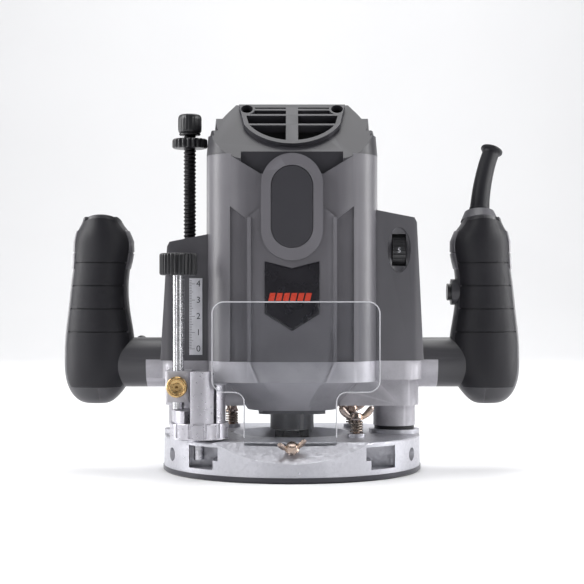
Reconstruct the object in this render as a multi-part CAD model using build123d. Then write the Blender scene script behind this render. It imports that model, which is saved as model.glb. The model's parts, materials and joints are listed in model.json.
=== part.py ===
from build123d import *
import math
import os

# Plunge router, modelled as an assembly of separate pieces.
# Frame: millimetres, +Z up, the front of the machine faces -Y, origin on the spindle axis at the underside
# of the sole. The motor unit is drawn at the bottom of its travel, resting on the column bumpers.

# ---- driving dimensions -------------------------------------------------------------------------
BASE_R = 81.0                 # radius of the cast base
SOLE_R = 81.5
SOLE_T = 3.5
BASE_TOP = 23.0               # flat top of the casting
BOSS_TOP = 25.5               # top of the two column bosses
OPENING_R = 24.0              # guide-bush opening through sole and casting
SLOPE_START, SLOPE_DROP = 66.0, 11.5   # front and rear slopes: where they start, how far they fall at the rim
SLOPE_ANGLE = math.degrees(math.atan2(SLOPE_DROP, BASE_R - SLOPE_START))
SOLE_SCREW_R = 62.0           # pitch radius of the sole's screws

COLUMN_X = 65.0
COLUMN_R, COLUMN_BORE = 10.0, 7.6
COLUMN_BOTTOM, COLUMN_TOP = 6.0, 120.0
RUNNING = 0.04                # radial running clearance
BUMPER_TOP = 27.6

ROD_Y, ROD_Z, ROD_BORE_R = 34.0, 12.5, 4.1      # fence-rod bores through the base, along X
CLAMP_X = 39.5                # the wing bolts sit over the rods at this X
CLAMP_AT = [(CLAMP_X, -ROD_Y), (CLAMP_X, ROD_Y), (-CLAMP_X, ROD_Y)]
CLAMP_NAMES = ["front_right", "rear_right", "rear_left"]
CLAMP_BOSS_TOP, CLAMP_COLLAR = 25.2, 33.4       # the clamp springs sit between these heights
SHIELD_BOLT_Y = -73.0         # where the shield's wing bolt meets the front slope

BRACKET_BOTTOM, BRACKET_TOP = 41.0, 69.7
BOWL_BOTTOM = 38.5            # underside of the casting round the spindle
SLEEVE_R, SLEEVE_BOTTOM = 13.3, 27.8
LUG_R, LUG_Z, LUG_END = 15.7, 67.5, 91.5
BLOCK_HALF_Y = 18.0

HOUSING_W, HOUSING_D, HOUSING_CORNER, HOUSING_WALL = 106.0, 98.0, 26.0, 5.5
CAP_SEAM, CAP_TOP, CAP_WALL = 196.0, 229.0, 3.0
# Cap tiers: lowest and highest Z, width and depth at the foot, how far each side leans in.
CAP_TIERS = [(CAP_SEAM + 0.05, 208.0, HOUSING_W, HOUSING_D, 1.0), (204.0, 211.5, 104.0, 96.0, 1.8),
             (206.0, 219.5, 97.0, 93.0, 1.2), (218.0, CAP_TOP, 90.0, 90.0, 10.0)]
CAP_FACE_Y = 44.5             # the cap is recessed to here between its corners, front and rear
GRILLE_TILT, GRILLE_TOP_Y = 47.0, 19.0   # grille plates: fall in degrees, and Y of their upper edge
GRILLE_DROP = 36.5            # length of a grille plate down its slope
CAP_SCREW_X = 28.0
PANEL_HALF_W, PANEL_Y, PANEL_TOP = 27.0, 51.0, 165.0
BOSS_FACE_Y = 54.0            # face of the brush bosses, front and rear
BOSS_R, BOSS_SPAN = 18.6, (131.0, 195.5)         # half width of a brush boss, its lowest and highest Z
COVER_R, COVER_SPAN = 12.7, (138.5, 188.3)       # the same of the door in its face
BRUSH_Z, BRUSH_HOLE_R = 166.0, 6.5

CASE_HALF_Y, CASE_WALL = 31.0, 2.6
CASE_SCREWS = [(60.0, 155.0), (67.5, 104.0)]     # X and Z of the screws in the rear half case
LEFT_CASE_TOP, RIGHT_CASE_TOP = 148.0, 163.0
COLUMN_CASE_TOP_X, COLUMN_CASE_FOOT_X = 77.0, 81.3

TURRET_X, TURRET_Y, TURRET_R = -56.0, -50.0, 17.7
DEPTH_X, DEPTH_Y, DEPTH_ROD_R = -68.5, -50.0, 3.5
DEPTH_ROD_FOOT, DEPTH_ROD_TOP, DEPTH_LOCK_Z = 41.5, 126.0, 55.5
HEIGHT_ROD_R = 4.0
LEVER_Z, LEVER_BOSS_Y = 54.2, 31.3
LEVER_REST = 142.0            # heading of the lever's arm, degrees from +X towards +Z
BEARING_R = 16.0
SPINDLE_LOCK_Z, SPINDLE_LOCK_R, LOCK_PIN_R = 35.5, 5.9, 1.5
DIAL_X, DIAL_Y, DIAL_Z, DIAL_R = 66.0, -21.5, 138.0, 10.0
GRIP_TOP = 157.0
TOP_TILT = 16.0               # the grip's top falls away to the rear by this many degrees
# Height, inner X, outer X and half depth of the grip; the lobe at the foot closes to a blunt end.
GRIP_SECTIONS = [(41.5, 118.0, 130.0, 5.0), (44.5, 112.0, 137.0, 11.0), (50.0, 107.0, 141.2, 15.5),
                 (58.0, 102.5, 143.8, 18.5), (70.0, 100.0, 144.5, 19.5), (84.0, 100.5, 144.0, 19.0),
                 (100.0, 103.0, 142.2, 18.5), (120.0, 103.8, 140.0, 18.0), (128.0, 102.8, 139.0, 18.0),
                 (138.0, 101.0, 138.6, 18.2), (150.0, 103.5, 136.5, 17.2), (162.0, 106.5, 133.5, 15.5)]
GROOVE_HEIGHTS = (130.0, 115.5, 101.0, 86.5)
PAD_T, PAD_FOOT_Z = 2.4, 52.0
NECK_END_X = 106.0            # the neck closes in a ball here, inside the grip
SHELL_WALL = 5.0
SEAM_X = 121.0                # parting plane of the handle shells
PAD_EDGE_Y = -8.5             # the rubber pads cover the grips in front of this plane
TRIGGER_Z0, TRIGGER_Z1 = 80.0, 118.0
LOCK_ON_R, LOCK_ON_Z = 5.4, 112.0
FLARE_AT, CORD_R = 0.955, 4.0 # where the cord sleeve flares, as a share of its length, and the cord's radius
SLEEVE_RADII = [(0.0, 6.4), (0.2, 6.5), (0.45, 5.9), (0.75, 5.5), (FLARE_AT, 5.4)]
NUT_MOUTH = 15.6              # mouth of the collet
SHAFT_RADII = (8.0, 7.0, 6.0, 4.0)   # collet seat, armature core, commutator, upper bearing
SHANK_R, SHANK_END = 6.0, 41.5   # the collet grips a 12 mm shank, which may reach up to this height


# ---- helpers ------------------------------------------------------------------------------------
def post(r, z0, z1, x=0.0, y=0.0):
    """Upright cylinder between two heights."""
    return Pos(x, y, (z0 + z1) / 2) * Cylinder(r, z1 - z0)


def rod_x(r, x0, x1, y, z):
    """Cylinder lying along X."""
    return Pos((x0 + x1) / 2, y, z) * Rot(0, 90, 0) * Cylinder(r, abs(x1 - x0))


def rod_y(r, y0, y1, x, z):
    """Cylinder lying along Y."""
    return Pos(x, (y0 + y1) / 2, z) * Rot(90, 0, 0) * Cylinder(r, abs(y1 - y0))


def block(x0, x1, y0, y1, z0, z1):
    """Box from its two corners."""
    return Pos((x0 + x1) / 2, (y0 + y1) / 2, (z0 + z1) / 2) * Box(abs(x1 - x0), abs(y1 - y0), abs(z1 - z0))


def rounded_prism(x0, x1, y0, y1, z0, z1, r):
    """Upright box with rounded vertical corners."""
    outline = Plane((0, 0, z0)) * Pos((x0 + x1) / 2, (y0 + y1) / 2) * RectangleRounded(x1 - x0, y1 - y0, r)
    return extrude(outline, z1 - z0)


def profile_prism(points, y0, y1):
    """Polygon given in X and Z, drawn out along Y."""
    face = make_face(Polyline(*[(x, y0, z) for x, z in points], close=True))
    return extrude(face, abs(y1 - y0), dir=(0, 1 if y1 > y0 else -1, 0))


def mirrored(shape, normal_axis):
    """Copy on the other side of the X = 0 or Y = 0 plane."""
    return mirror(shape, Plane.YZ if normal_axis == "X" else Plane.XZ)


def coil(radius, wire_r, z0, z1, turns, x=0.0, y=0.0):
    """Helical compression spring between two heights."""
    run = z1 - z0 - 2 * wire_r
    path = Helix(pitch=run / turns, height=run, radius=radius)
    section = Plane(path @ 0, z_dir=path % 0) * Circle(wire_r)
    return Pos(x, y, z0 + wire_r) * sweep(section, path=path, is_frenet=True)


def ring_sector(r_in, r_out, start, end, z0, z1, x, y):
    """Upright piece of a ring between two angles in degrees."""
    middle = (start + end) / 2
    outer = [on_circle(r_out, a) for a in (start, middle, end)]
    inner = [on_circle(r_in, a) for a in (end, middle, start)]
    outline = make_face([ThreePointArc(*outer), Line(outer[2], inner[0]), ThreePointArc(*inner),
                         Line(inner[2], outer[0])])
    return Pos(x, y, z0) * extrude(outline, z1 - z0)


def on_circle(r, angle):
    """Point of a circle round the origin, angle in degrees."""
    return r * math.cos(math.radians(angle)), r * math.sin(math.radians(angle))


def teeth(cutter, count):
    """Copies of a cutting shape, spread evenly round the Z axis."""
    return Compound(children=[Rot(0, 0, 360 * n / count) * cutter for n in range(count)])


# ---- base ---------------------------------------------------------------------------------------
def on_slope(y):
    """Frame on the front slope at this Y, its Z along the slope's normal."""
    fall = (-SLOPE_START - y) * math.tan(math.radians(SLOPE_ANGLE))
    return Pos(0, y, BASE_TOP - fall) * Rot(SLOPE_ANGLE, 0, 0)


def base_slopes():
    """The wedges cut from the front and rear of the casting."""
    wedge = on_slope(-SLOPE_START) * Pos(0, -30, 10) * Box(200, 60, 20)
    return wedge + mirrored(wedge, "Y")


def base_casting():
    """Round casting with sloped front and rear, column bosses, side pockets and fence-rod bores."""
    body = post(BASE_R, SOLE_T, BASE_TOP)
    body = fillet(body.edges().group_by(Axis.Z)[-1], 1.5)
    body -= base_slopes()
    for side in (-1, 1):
        body += post(16.0, SOLE_T, BOSS_TOP, side * COLUMN_X)
    for x, y in CLAMP_AT:
        body += post(5.5, BASE_TOP - 1, CLAMP_BOSS_TOP, x, y)
    body += post(6.0, BASE_TOP - 1, 24.0, TURRET_X, TURRET_Y)
    body -= post(OPENING_R, 0, BASE_TOP + 1)
    body -= Pos(0, 0, 18.05) * Cone(OPENING_R + 1, 37.0, 10.1)
    for side in (-1, 1):
        body -= post(COLUMN_R, COLUMN_BOTTOM, BOSS_TOP + 1, side * COLUMN_X)
        body -= rod_x(ROD_BORE_R, -BASE_R - 1, BASE_R + 1, side * ROD_Y, ROD_Z)
        for front in (-1, 1):
            pocket = block(47, 62, 44, 90, 6.5, 20)
            pocket += block(44, 47.5, 50, 90, 12, 20)
            if side < 0:
                pocket = mirrored(pocket, "X")
            if front < 0:
                pocket = mirrored(pocket, "Y")
            body -= pocket
    for x, y in CLAMP_AT:
        body -= post(2.5 + RUNNING, ROD_Z, 30, x, y)
    body -= on_slope(SHIELD_BOLT_Y) * post(2.5 + RUNNING, -8, 5)
    body -= post(3.0, 10, 30, TURRET_X, TURRET_Y)
    for x, y in sole_screw_places():
        body -= post(2.0, 0, 12, x, y)
    return body


def sole_screw_places():
    """X and Y of the four countersunk screws."""
    return [on_circle(SOLE_SCREW_R, a) for a in (70, 110, 250, 290)]


def sole_plate():
    """Plastic sole with countersunk holes and a chamfered lower rim."""
    plate = post(SOLE_R, 0, SOLE_T) - post(OPENING_R, -1, SOLE_T + 1)
    lower_rims = plate.edges().filter_by(GeomType.CIRCLE).group_by(Axis.Z)[0]
    plate = chamfer(lower_rims.sort_by(SortBy.RADIUS)[-1], 1.0)
    for x, y in sole_screw_places():
        plate -= post(2.0, -1, SOLE_T + 1, x, y)
        plate -= Pos(x, y, 1.0) * Cone(4.0, 2.0, 2.0)
    return plate


def sole_screws():
    """Countersunk screws that hold the sole; the shank stops short of the bottom of its hole."""
    screws = []
    for x, y in sole_screw_places():
        screw = Pos(x, y, 1.05) * Cone(3.8, 1.9, 1.9) + post(1.9, 1.5, 11, x, y)
        screw -= block(x - 2.6, x + 2.6, y - 0.4, y + 0.4, -1, 0.8)
        screw -= block(x - 0.4, x + 0.4, y - 2.6, y + 2.6, -1, 0.8)
        screws.append(screw)
    return Compound(children=screws)


def column(side):
    """Ground steel guide column, hollow for its return spring."""
    tube = post(COLUMN_R, COLUMN_BOTTOM, COLUMN_TOP, side * COLUMN_X)
    tube -= post(COLUMN_BORE, COLUMN_BOTTOM + 3, COLUMN_TOP + 1, side * COLUMN_X)
    if side < 0:
        tube -= post(HEIGHT_ROD_R + RUNNING, COLUMN_BOTTOM - 1, COLUMN_BOTTOM + 4, side * COLUMN_X)
    return tube


def column_bumpers():
    """Rubber rings that stop the motor unit at full depth."""
    ring = post(12.6, BOSS_TOP, BUMPER_TOP, COLUMN_X) - post(COLUMN_R, BOSS_TOP - 1, BUMPER_TOP + 1, COLUMN_X)
    return Compound(children=[ring, mirrored(ring, "X")])


def return_springs():
    """Long plunge springs, from the foot of each column to the roof of its case, shown compressed."""
    spans = [(-1, 138.2), (1, 152.4)]
    foot = COLUMN_BOTTOM + 3.2
    return Compound(children=[coil(6.2, 0.9, foot, top, 12, side * COLUMN_X) for side, top in spans])


def clamp_springs():
    """Short springs under the wing bolts."""
    foot = CLAMP_BOSS_TOP + 0.02
    return Compound(children=[coil(3.6, 0.55, foot, CLAMP_COLLAR, 4.5, x, y) for x, y in CLAMP_AT])


def wing_bolt(tip, collar, wing_turn):
    """Wing bolt on the Z axis: shank, collar and two flat wings that rise outwards, turned by wing_turn degrees."""
    bolt = post(2.5, tip, collar + 1) + post(4.3, collar, collar + 4.2)
    outline = [(2.0, 0.8), (4.6, 0.9), (11.8, 7.6), (10.6, 10.0), (7.6, 9.2), (2.0, 4.6)]
    wing = profile_prism([(x, collar + rise) for x, rise in outline], -1.1, 1.1)
    bolt += wing + mirrored(wing, "X")
    return Rot(0, 0, wing_turn) * bolt


def shield_wing_bolt():
    """Smaller wing bolt that stands square to the front slope and holds the shield's foot."""
    bolt = post(2.5, -7.0, 3.0) + post(3.9, 2.15, 5.6)
    wing = profile_prism([(2.0, 2.6), (4.2, 2.8), (9.6, 7.4), (8.6, 9.6), (6.2, 9.0), (2.0, 5.4)], -1.0, 1.0)
    bolt += wing + mirrored(wing, "X")
    return on_slope(SHIELD_BOLT_Y) * Rot(0, 0, 12) * bolt


def chip_shield():
    """Clear guard: a slightly curved panel on a narrower tongue, with a flat foot that lies on the front slope."""
    face_y, thick, bow = -69.0, 2.0, 600.0
    outer = post(bow, 18, 108, 0, face_y + bow)
    wall = outer - post(bow - thick, 17, 109, 0, face_y + bow)
    panel = extrude(Plane.XZ * Pos(2.4, 79.4) * RectangleRounded(99.3, 53.4, 7), 100)
    tongue = block(-28.3, 26.3, -100, 0, 18, 62)
    shoulders = block(-34.3, 32.3, -100, 0, 46.7, 58)
    for x in (-34.3, 32.3):
        shoulders -= rod_y(6.0, -110, 10, x, 46.7)
    upright = wall & (panel + tongue + shoulders)
    slope = on_slope(SHIELD_BOLT_Y)
    upright -= slope * Pos(-1, 0, -19.94) * Box(200, 60, 40)
    foot = slope * Pos(-1, -0.6, 1.06) * Box(54.6, 13.0, 2.0) & outer
    return upright + foot - slope * post(2.8, -5, 8)


# ---- turret, depth stop and height stop ----------------------------------------------------------
def turret():
    """Three-step turret stop on its detent disc."""
    disc = post(TURRET_R, 24.1, 33.8, TURRET_X, TURRET_Y)
    disc = fillet(disc.edges().group_by(Axis.Z)[-1], 0.8)
    steps = [(120, 240, 41.0), (254, 306, 64.7), (314, 380, 56.5)]
    for start, end, top in steps:
        disc += ring_sector(4.6, 16.0, start, end, 33, top, TURRET_X, TURRET_Y)
    disc -= post(3.0 + RUNNING, 20, 70, TURRET_X, TURRET_Y)
    notch = Rot(0, 0, 15) * post(1.1, 25, 33.9, 18.0)
    return disc - Pos(TURRET_X, TURRET_Y) * teeth(notch, 12)


def turret_pivot():
    """Shouldered screw the turret turns on."""
    pivot = post(3.0, 11, 36.5, TURRET_X, TURRET_Y) + post(4.3, 34.0, 37.5, TURRET_X, TURRET_Y)
    pivot -= post(1.8, 35.4, 38, TURRET_X, TURRET_Y)
    return pivot


def depth_rod():
    """Round rod with rack teeth on one flank; its foot stands just above the lowest turret step."""
    rod = post(DEPTH_ROD_R, DEPTH_ROD_FOOT, DEPTH_ROD_TOP, DEPTH_X, DEPTH_Y)
    pitch, first, count = 2.0, 68.5, 26
    for n in range(count):
        z = first + n * pitch
        rod -= block(DEPTH_X - 6, DEPTH_X - 2.9, DEPTH_Y - 5, DEPTH_Y + 5, z, z + pitch / 2)
    return rod


def depth_knob():
    """Black ribbed knob on top of the depth rod."""
    knob = post(11.5, 122, 135.5)
    knob = chamfer(knob.edges().filter_by(GeomType.CIRCLE), 0.8)
    knob -= teeth(post(0.7, 121, 136, 11.6), 24)
    return Pos(DEPTH_X, DEPTH_Y) * (knob - post(DEPTH_ROD_R, 121, DEPTH_ROD_TOP))


def depth_lock_screw():
    """Brass thumb screw that pinches the depth rod."""
    screw = rod_y(2.5, -53.55, -59, DEPTH_X, DEPTH_LOCK_Z) + rod_y(6.3, -58.4, -64.6, DEPTH_X, DEPTH_LOCK_Z)
    return screw - rod_y(4.6, -63.6, -66, DEPTH_X, DEPTH_LOCK_Z)


def height_rod():
    """Threaded height-stop rod; it stands in the base inside the left column and carries its own knob."""
    rod = post(HEIGHT_ROD_R, COLUMN_BOTTOM + 0.1, 213, -COLUMN_X)
    pitch, first, count = 1.5, 150.0, 38
    for n in range(count):
        z = first + n * pitch
        rod -= post(6, z, z + 0.7, -COLUMN_X) - post(HEIGHT_ROD_R - 0.4, z - 1, z + 2, -COLUMN_X)
    return rod


def height_knob():
    """Rounded knob on top of the height rod."""
    knob = post(7.5, 211.5, 225, -COLUMN_X)
    knob = fillet(knob.edges().filter_by(GeomType.CIRCLE), 1.2)
    return knob - post(HEIGHT_ROD_R, 210, 213, -COLUMN_X)


def limit_nut():
    """Knurled nylon nut on the height rod."""
    nut = post(11.2, 203.0, 209.5) - teeth(post(0.8, 202, 211, 11.3), 20)
    return Pos(-COLUMN_X) * (nut - post(HEIGHT_ROD_R + RUNNING, 202, 211))


# ---- motor unit ---------------------------------------------------------------------------------
def housing_prism(z0, z1, inset=0.0):
    """Solid of the motor housing's outline, drawn in by inset."""
    outline = RectangleRounded(HOUSING_W - 2 * inset, HOUSING_D - 2 * inset, HOUSING_CORNER - inset)
    return Pos(0, 0, z0) * extrude(outline, z1 - z0)


def bowl_solid(grow=0.0):
    """Tapering lower body of the bracket, let out sideways by grow."""
    sections = [(BOWL_BOTTOM, 56, 56, 20), (45, 64, 66, 22), (57, 84, 86, 25)]
    rings = [Plane((0, 0, z)) * RectangleRounded(w + grow, d + grow, r) for z, w, d, r in sections]
    return loft(rings, ruled=True)


def motor_bracket():
    """Aluminium casting that carries the motor, slides on the columns and holds the handles."""
    body = bowl_solid() + housing_prism(57, BRACKET_TOP, 0.6)
    for side in (-1, 1):
        wing = block(30, 66, -BLOCK_HALF_Y, BLOCK_HALF_Y, BRACKET_BOTTOM, BRACKET_TOP)
        wing += rounded_prism(44, 80, -BLOCK_HALF_Y, BLOCK_HALF_Y, BRACKET_BOTTOM, BRACKET_TOP, 12)
        wing += rounded_prism(44, 80.6, -CASE_HALF_Y, CASE_HALF_Y, 58, BRACKET_TOP, 12)
        wing += post(SLEEVE_R, SLEEVE_BOTTOM, BRACKET_BOTTOM + 1, COLUMN_X)
        wing += rod_x(LUG_R, 70, LUG_END, 0, LUG_Z) & block(60, 100, -20, 20, 40, BRACKET_TOP)
        body += wing if side > 0 else mirrored(wing, "X")
        for front in (-1, 1):
            outline = [(20.5, 57.5), (22, 57.5), (27.6, BRACKET_TOP), (25.6, BRACKET_TOP)]
            rib = profile_prism(outline, 47, 50.2)
            rib = rib if side > 0 else mirrored(rib, "X")
            body += rib if front > 0 else mirrored(rib, "Y")
    body += block(-76, -61, -43.2, -15, 46, 64.5)
    body += rounded_prism(-76, -61, -57, -43, 46, 64.5, 2.0)
    body += rod_y(9.5, 16, LEVER_BOSS_Y, -COLUMN_X, LEVER_Z)
    bowl_inside = loft([Plane((0, 0, z)) * RectangleRounded(w, d, r) for z, w, d, r in
                        ((46, 54, 56, 18), (59.2, 76, 78, 22))])
    body -= housing_prism(59, BRACKET_TOP + 1, 6.0) + bowl_inside
    body -= post(BEARING_R + 0.02, 40, 48)
    body -= post(10.5, 30, 48)
    for side in (-1, 1):
        body -= post(COLUMN_R + RUNNING, 20, 75, side * COLUMN_X)
    body -= post(DEPTH_ROD_R + RUNNING, 40, 70, DEPTH_X, DEPTH_Y)
    body -= rod_y(2.5 + RUNNING, -60, DEPTH_Y, DEPTH_X, DEPTH_LOCK_Z)
    body -= rod_y(3.0 + RUNNING, 5, LEVER_BOSS_Y + 1, -COLUMN_X, LEVER_Z)
    return body


def bearing_nose():
    """Dark plate and neck under the bracket, with the collar of the spindle lock at the rear."""
    nose = rounded_prism(-21, 21, -20, 22, 35.8, BOWL_BOTTOM - 0.05, 6)
    nose += post(13.8, 25.5, 37)
    nose += rod_y(9.4, 10, 43, 0, SPINDLE_LOCK_Z)
    nose += block(-13, 13, 10, 38, 27, SPINDLE_LOCK_Z)
    nose -= post(12.1, 20, 36) + post(10.5, 20, 45)
    nose -= rod_y(SPINDLE_LOCK_R + RUNNING, 22, 50, 0, SPINDLE_LOCK_Z)
    nose -= rod_y(LOCK_PIN_R + RUNNING, 5, 30, 0, SPINDLE_LOCK_Z - 2)
    return nose - bowl_solid(0.3) - block(-30, 30, -40, 27.9, BOWL_BOTTOM - 0.04, 60)


def spindle_lock_button():
    """Push button with the pin that enters a hole in the spindle."""
    button = rod_y(SPINDLE_LOCK_R, 34.4, 44.8, 0, SPINDLE_LOCK_Z)
    return button + rod_y(LOCK_PIN_R, 12.6, 35, 0, SPINDLE_LOCK_Z - 2)


def cap_skirt_zone():
    """Prism that bounds the cap's drop at the front and rear, on both sides of the brush bosses."""
    right = [(19, 183.5), (37, CAP_SEAM - 1.6), (37, CAP_SEAM + 1)]
    left = [(-x, z) for x, z in reversed(right)]
    return profile_prism(left + right, -80, 80)


def brush_boss(r, z_low, z_top, y0, y1):
    """Upright capsule of half width r, drawn from y0 out towards the front to y1."""
    facing_front = Plane((0, y0, 0), x_dir=(1, 0, 0), z_dir=(0, -1, 0))
    capsule = Pos(0, (z_low + z_top) / 2) * SlotOverall(z_top - z_low, 2 * r, rotation=90)
    return extrude(facing_front * capsule, abs(y1 - y0))


def front_face():
    """What stands on the housing's front: centre panel, its two ribs and the brush boss."""
    foot = BRACKET_TOP + 0.05
    right = [(PANEL_HALF_W, foot), (PANEL_HALF_W, PANEL_TOP - 8), (17, PANEL_TOP)]
    left = [(-x, z) for x, z in reversed(right)]
    panel = profile_prism(right + left, -PANEL_Y, -44)
    for side in (-1, 1):
        x0, x1 = sorted((side * (PANEL_HALF_W - 2.2), side * PANEL_HALF_W))
        panel += block(x0, x1, -PANEL_Y - 1.2, -44, foot, PANEL_TOP - 8)
    boss = brush_boss(BOSS_R, *BOSS_SPAN, -CAP_FACE_Y - 0.05, -BOSS_FACE_Y)
    boss += brush_boss(BOSS_R, *BOSS_SPAN, -42, -BOSS_FACE_Y) & block(-30, 30, -60, -40, 120, 183.4)
    recess = brush_boss(COVER_R + 0.1, COVER_SPAN[0] - 0.1, COVER_SPAN[1] + 0.1, -50.6, -BOSS_FACE_Y - 2)
    return panel + boss - recess


def motor_housing():
    """Main shell: rounded corner pillars, with recessed flutes beside the front and rear panels."""
    shell = housing_prism(BRACKET_TOP + 0.05, CAP_SEAM) - cap_skirt_zone()
    for side in (-1, 1):
        flute = profile_prism([(27, 60), (37.5, 60), (37.5, 164), (27, 156)], 45.6, 60)
        flute = flute if side > 0 else mirrored(flute, "X")
        shell -= flute + mirrored(flute, "Y")
    shell += front_face() + mirrored(front_face(), "Y")
    shell -= housing_prism(BRACKET_TOP - 1, CAP_SEAM + 1, HOUSING_WALL)
    return shell - rod_y(BRUSH_HOLE_R, -60, 60, 0, BRUSH_Z)


def brush_covers():
    """Pill-shaped doors over the carbon brushes, front and rear."""
    door = brush_boss(COVER_R, *COVER_SPAN, -50.7, -BOSS_FACE_Y + 0.3)
    return Compound(children=[door, mirrored(door, "Y")])


def cap_body(inset=0.0):
    """Four-tier form of the top cap, drawn in by inset."""
    tiers = []
    for z0, z1, wide, deep, taper in CAP_TIERS:
        rings = []
        for z, cut in ((z0, inset), (z1 - inset, inset + taper)):
            rings.append(Plane((0, 0, z)) * RectangleRounded(wide - 2 * cut, deep - 2 * cut, HOUSING_CORNER - cut))
        tiers.append(loft(rings, ruled=True))
    return tiers[0] + tiers[1] + tiers[2] + tiers[3]


def on_grille():
    """Frame on the front grille plate: X across, Y down the slope from its upper edge, Z into the cap."""
    return Pos(0, -GRILLE_TOP_Y, CAP_TOP) * Rot(GRILLE_TILT, 0, 0) * Rot(180, 0, 0)


def grille_outline(inset=0.0):
    """Shield-shaped outline of a grille: straight upper edge, leaning sides and an arched foot."""
    top, side, foot = 33.0 - inset, 29.5 - inset, GRILLE_DROP - inset
    return make_face([Line((-top, inset), (top, inset)), Line((top, inset), (side, 19)),
                      ThreePointArc((side, 19), (0, foot), (-side, 19)), Line((-side, 19), (-top, inset))])


def front_grille():
    """Slanted grille plate with its openings cut through."""
    plate = extrude(grille_outline(), 4.0)
    openings = extrude(grille_outline(3.0), 12.0) + extrude(grille_outline(3.0), -1)
    bars = block(-3.75, 3.75, -5, 50, -1, 12)
    for v in (5.0, 10.0, 19.0):
        bars += block(-40, 40, v - 0.8, v + 0.8, -0.5, 12)
    for x in (-CAP_SCREW_X, CAP_SCREW_X):
        bars += Pos(x, 4.4, 5) * Cylinder(5.0, 12)
    return on_grille() * plate, on_grille() * (openings - bars)


def cap_cavity():
    """Hollow of the cap; it keeps a full wall behind the recessed faces and the slopes."""
    inner_y = CAP_FACE_Y - CAP_WALL
    cavity = cap_body(CAP_WALL) + housing_prism(180, CAP_SEAM + 0.1, HOUSING_WALL)
    cavity = cavity & block(-60, 60, -inner_y, inner_y, 0, 300)
    behind = on_grille() * Pos(0, 0, CAP_WALL + 3.0 - 30) * Box(200, 200, 60)
    return cavity - behind - mirrored(behind, "Y")


def top_cap():
    """Dark cap with a slanting grille at the front and rear and a recessed face under each grille."""
    body = cap_body() + (housing_prism(183.6, CAP_SEAM + 0.06) & cap_skirt_zone())
    plate, openings = front_grille()
    slope = on_grille() * Pos(0, 0, 3.0 - 30) * Box(200, 200, 60)
    outline = [(-31, 180), (-31, 205), (-29, 213), (29, 213), (31, 205), (31, 180)]
    face = profile_prism(outline, -80, -CAP_FACE_Y)
    for cut in (slope, face):
        body -= cut + mirrored(cut, "Y")
    body -= cap_cavity()
    body += plate + mirrored(plate, "Y")
    body -= openings + mirrored(openings, "Y")
    for x in (-CAP_SCREW_X, CAP_SCREW_X):
        pillar = on_grille() * (Pos(x, 4.4, 8.5) * Cylinder(4.6, 9))
        hole = on_grille() * (Pos(x, 4.4, 3) * Cylinder(3.7, 8) + Pos(x, 4.4, 8) * Cylinder(2.0, 12))
        body += pillar + mirrored(pillar, "Y")
        body -= hole + mirrored(hole, "Y")
    return body


def cap_screws():
    """Pan-head screws sunk in the corners of the grilles."""
    screws = [on_grille() * (Pos(x, 4.4, 5.6) * Cylinder(3.3, 2.2) + Pos(x, 4.4, 9.5) * Cylinder(1.9, 6))
              for x in (-CAP_SCREW_X, CAP_SCREW_X)]
    return Compound(children=screws + [mirrored(screw, "Y") for screw in screws])


def column_case(top, y0, y1):
    """Solid of a column case on the right-hand side; it widens to its foot and its roof falls outwards."""
    z0 = BRACKET_TOP + 0.05
    outline = [(50, z0), (COLUMN_CASE_FOOT_X, z0), (COLUMN_CASE_TOP_X, top - 8),
               (COLUMN_CASE_TOP_X - 1.5, top - 5), (50, top)]
    body = profile_prism(outline, -CASE_HALF_Y, CASE_HALF_Y)
    plan = rounded_prism(20, COLUMN_CASE_FOOT_X + 4, -CASE_HALF_Y, CASE_HALF_Y, z0 - 1, top + 5, 11)
    body = body & plan & block(0, 120, y0, y1, 0, 300)
    return body - housing_prism(60, CAP_SEAM, -0.05)


def hollow_case(top, y0, y1):
    """Column case with its inside taken out, open towards the motor housing and the bracket."""
    inner_y = CASE_HALF_Y - CASE_WALL
    outline = [(40, 60), (COLUMN_CASE_FOOT_X - CASE_WALL, 60), (COLUMN_CASE_TOP_X - CASE_WALL, top - 10),
               (60, top - 4), (40, top - 4)]
    inside = profile_prism(outline, -inner_y, inner_y)
    inside = inside & rounded_prism(20, COLUMN_CASE_FOOT_X + 4 - CASE_WALL, -inner_y, inner_y, 50, top + 5, 9)
    return column_case(top, y0, y1) - inside


def left_column_case():
    """Case over the left column, with the hole for the height rod in its roof."""
    case = mirrored(hollow_case(LEFT_CASE_TOP, -CASE_HALF_Y, CASE_HALF_Y), "X")
    return case - post(HEIGHT_ROD_R + 0.6, 100, 160, -COLUMN_X)


def electronics_case_front():
    """Front half of the right-hand case, with the dished window of the speed dial."""
    case = hollow_case(RIGHT_CASE_TOP, -CASE_HALF_Y, -0.05)
    dish = Pos(DIAL_X, -CASE_HALF_Y, DIAL_Z) * Rot(90, 0, 0) * scale(Sphere(1), (7.2, 14.0, 3.0))
    case += rounded_prism(58, 74, -CASE_HALF_Y + 2, -CASE_HALF_Y + 4.6, 122, 154, 0.6)
    case -= dish
    return case - block(DIAL_X - 4.4, DIAL_X + 4.4, -40, -20, DIAL_Z - 9.8, DIAL_Z + 9.8)


def electronics_case_rear():
    """Rear half of the right-hand case, with two screw pillars."""
    case = hollow_case(RIGHT_CASE_TOP, 0.05, CASE_HALF_Y)
    for x, z in CASE_SCREWS:
        case += rod_y(4.6, 12, CASE_HALF_Y - 1, x, z)
        case -= rod_y(1.6, 5, 40, x, z)
        case -= rod_y(3.2, CASE_HALF_Y - 4, 40, x, z)
    return case - post(COLUMN_R + 1.0, 60, 150, COLUMN_X) - housing_prism(60, CAP_SEAM, -0.05)


def case_screws():
    """Screws of the rear half case."""
    y = CASE_HALF_Y
    return Compound(children=[rod_y(1.55, 13, y - 3, x, z) + rod_y(3.1, y - 3.9, y - 1.6, x, z)
                              for x, z in CASE_SCREWS])


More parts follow.
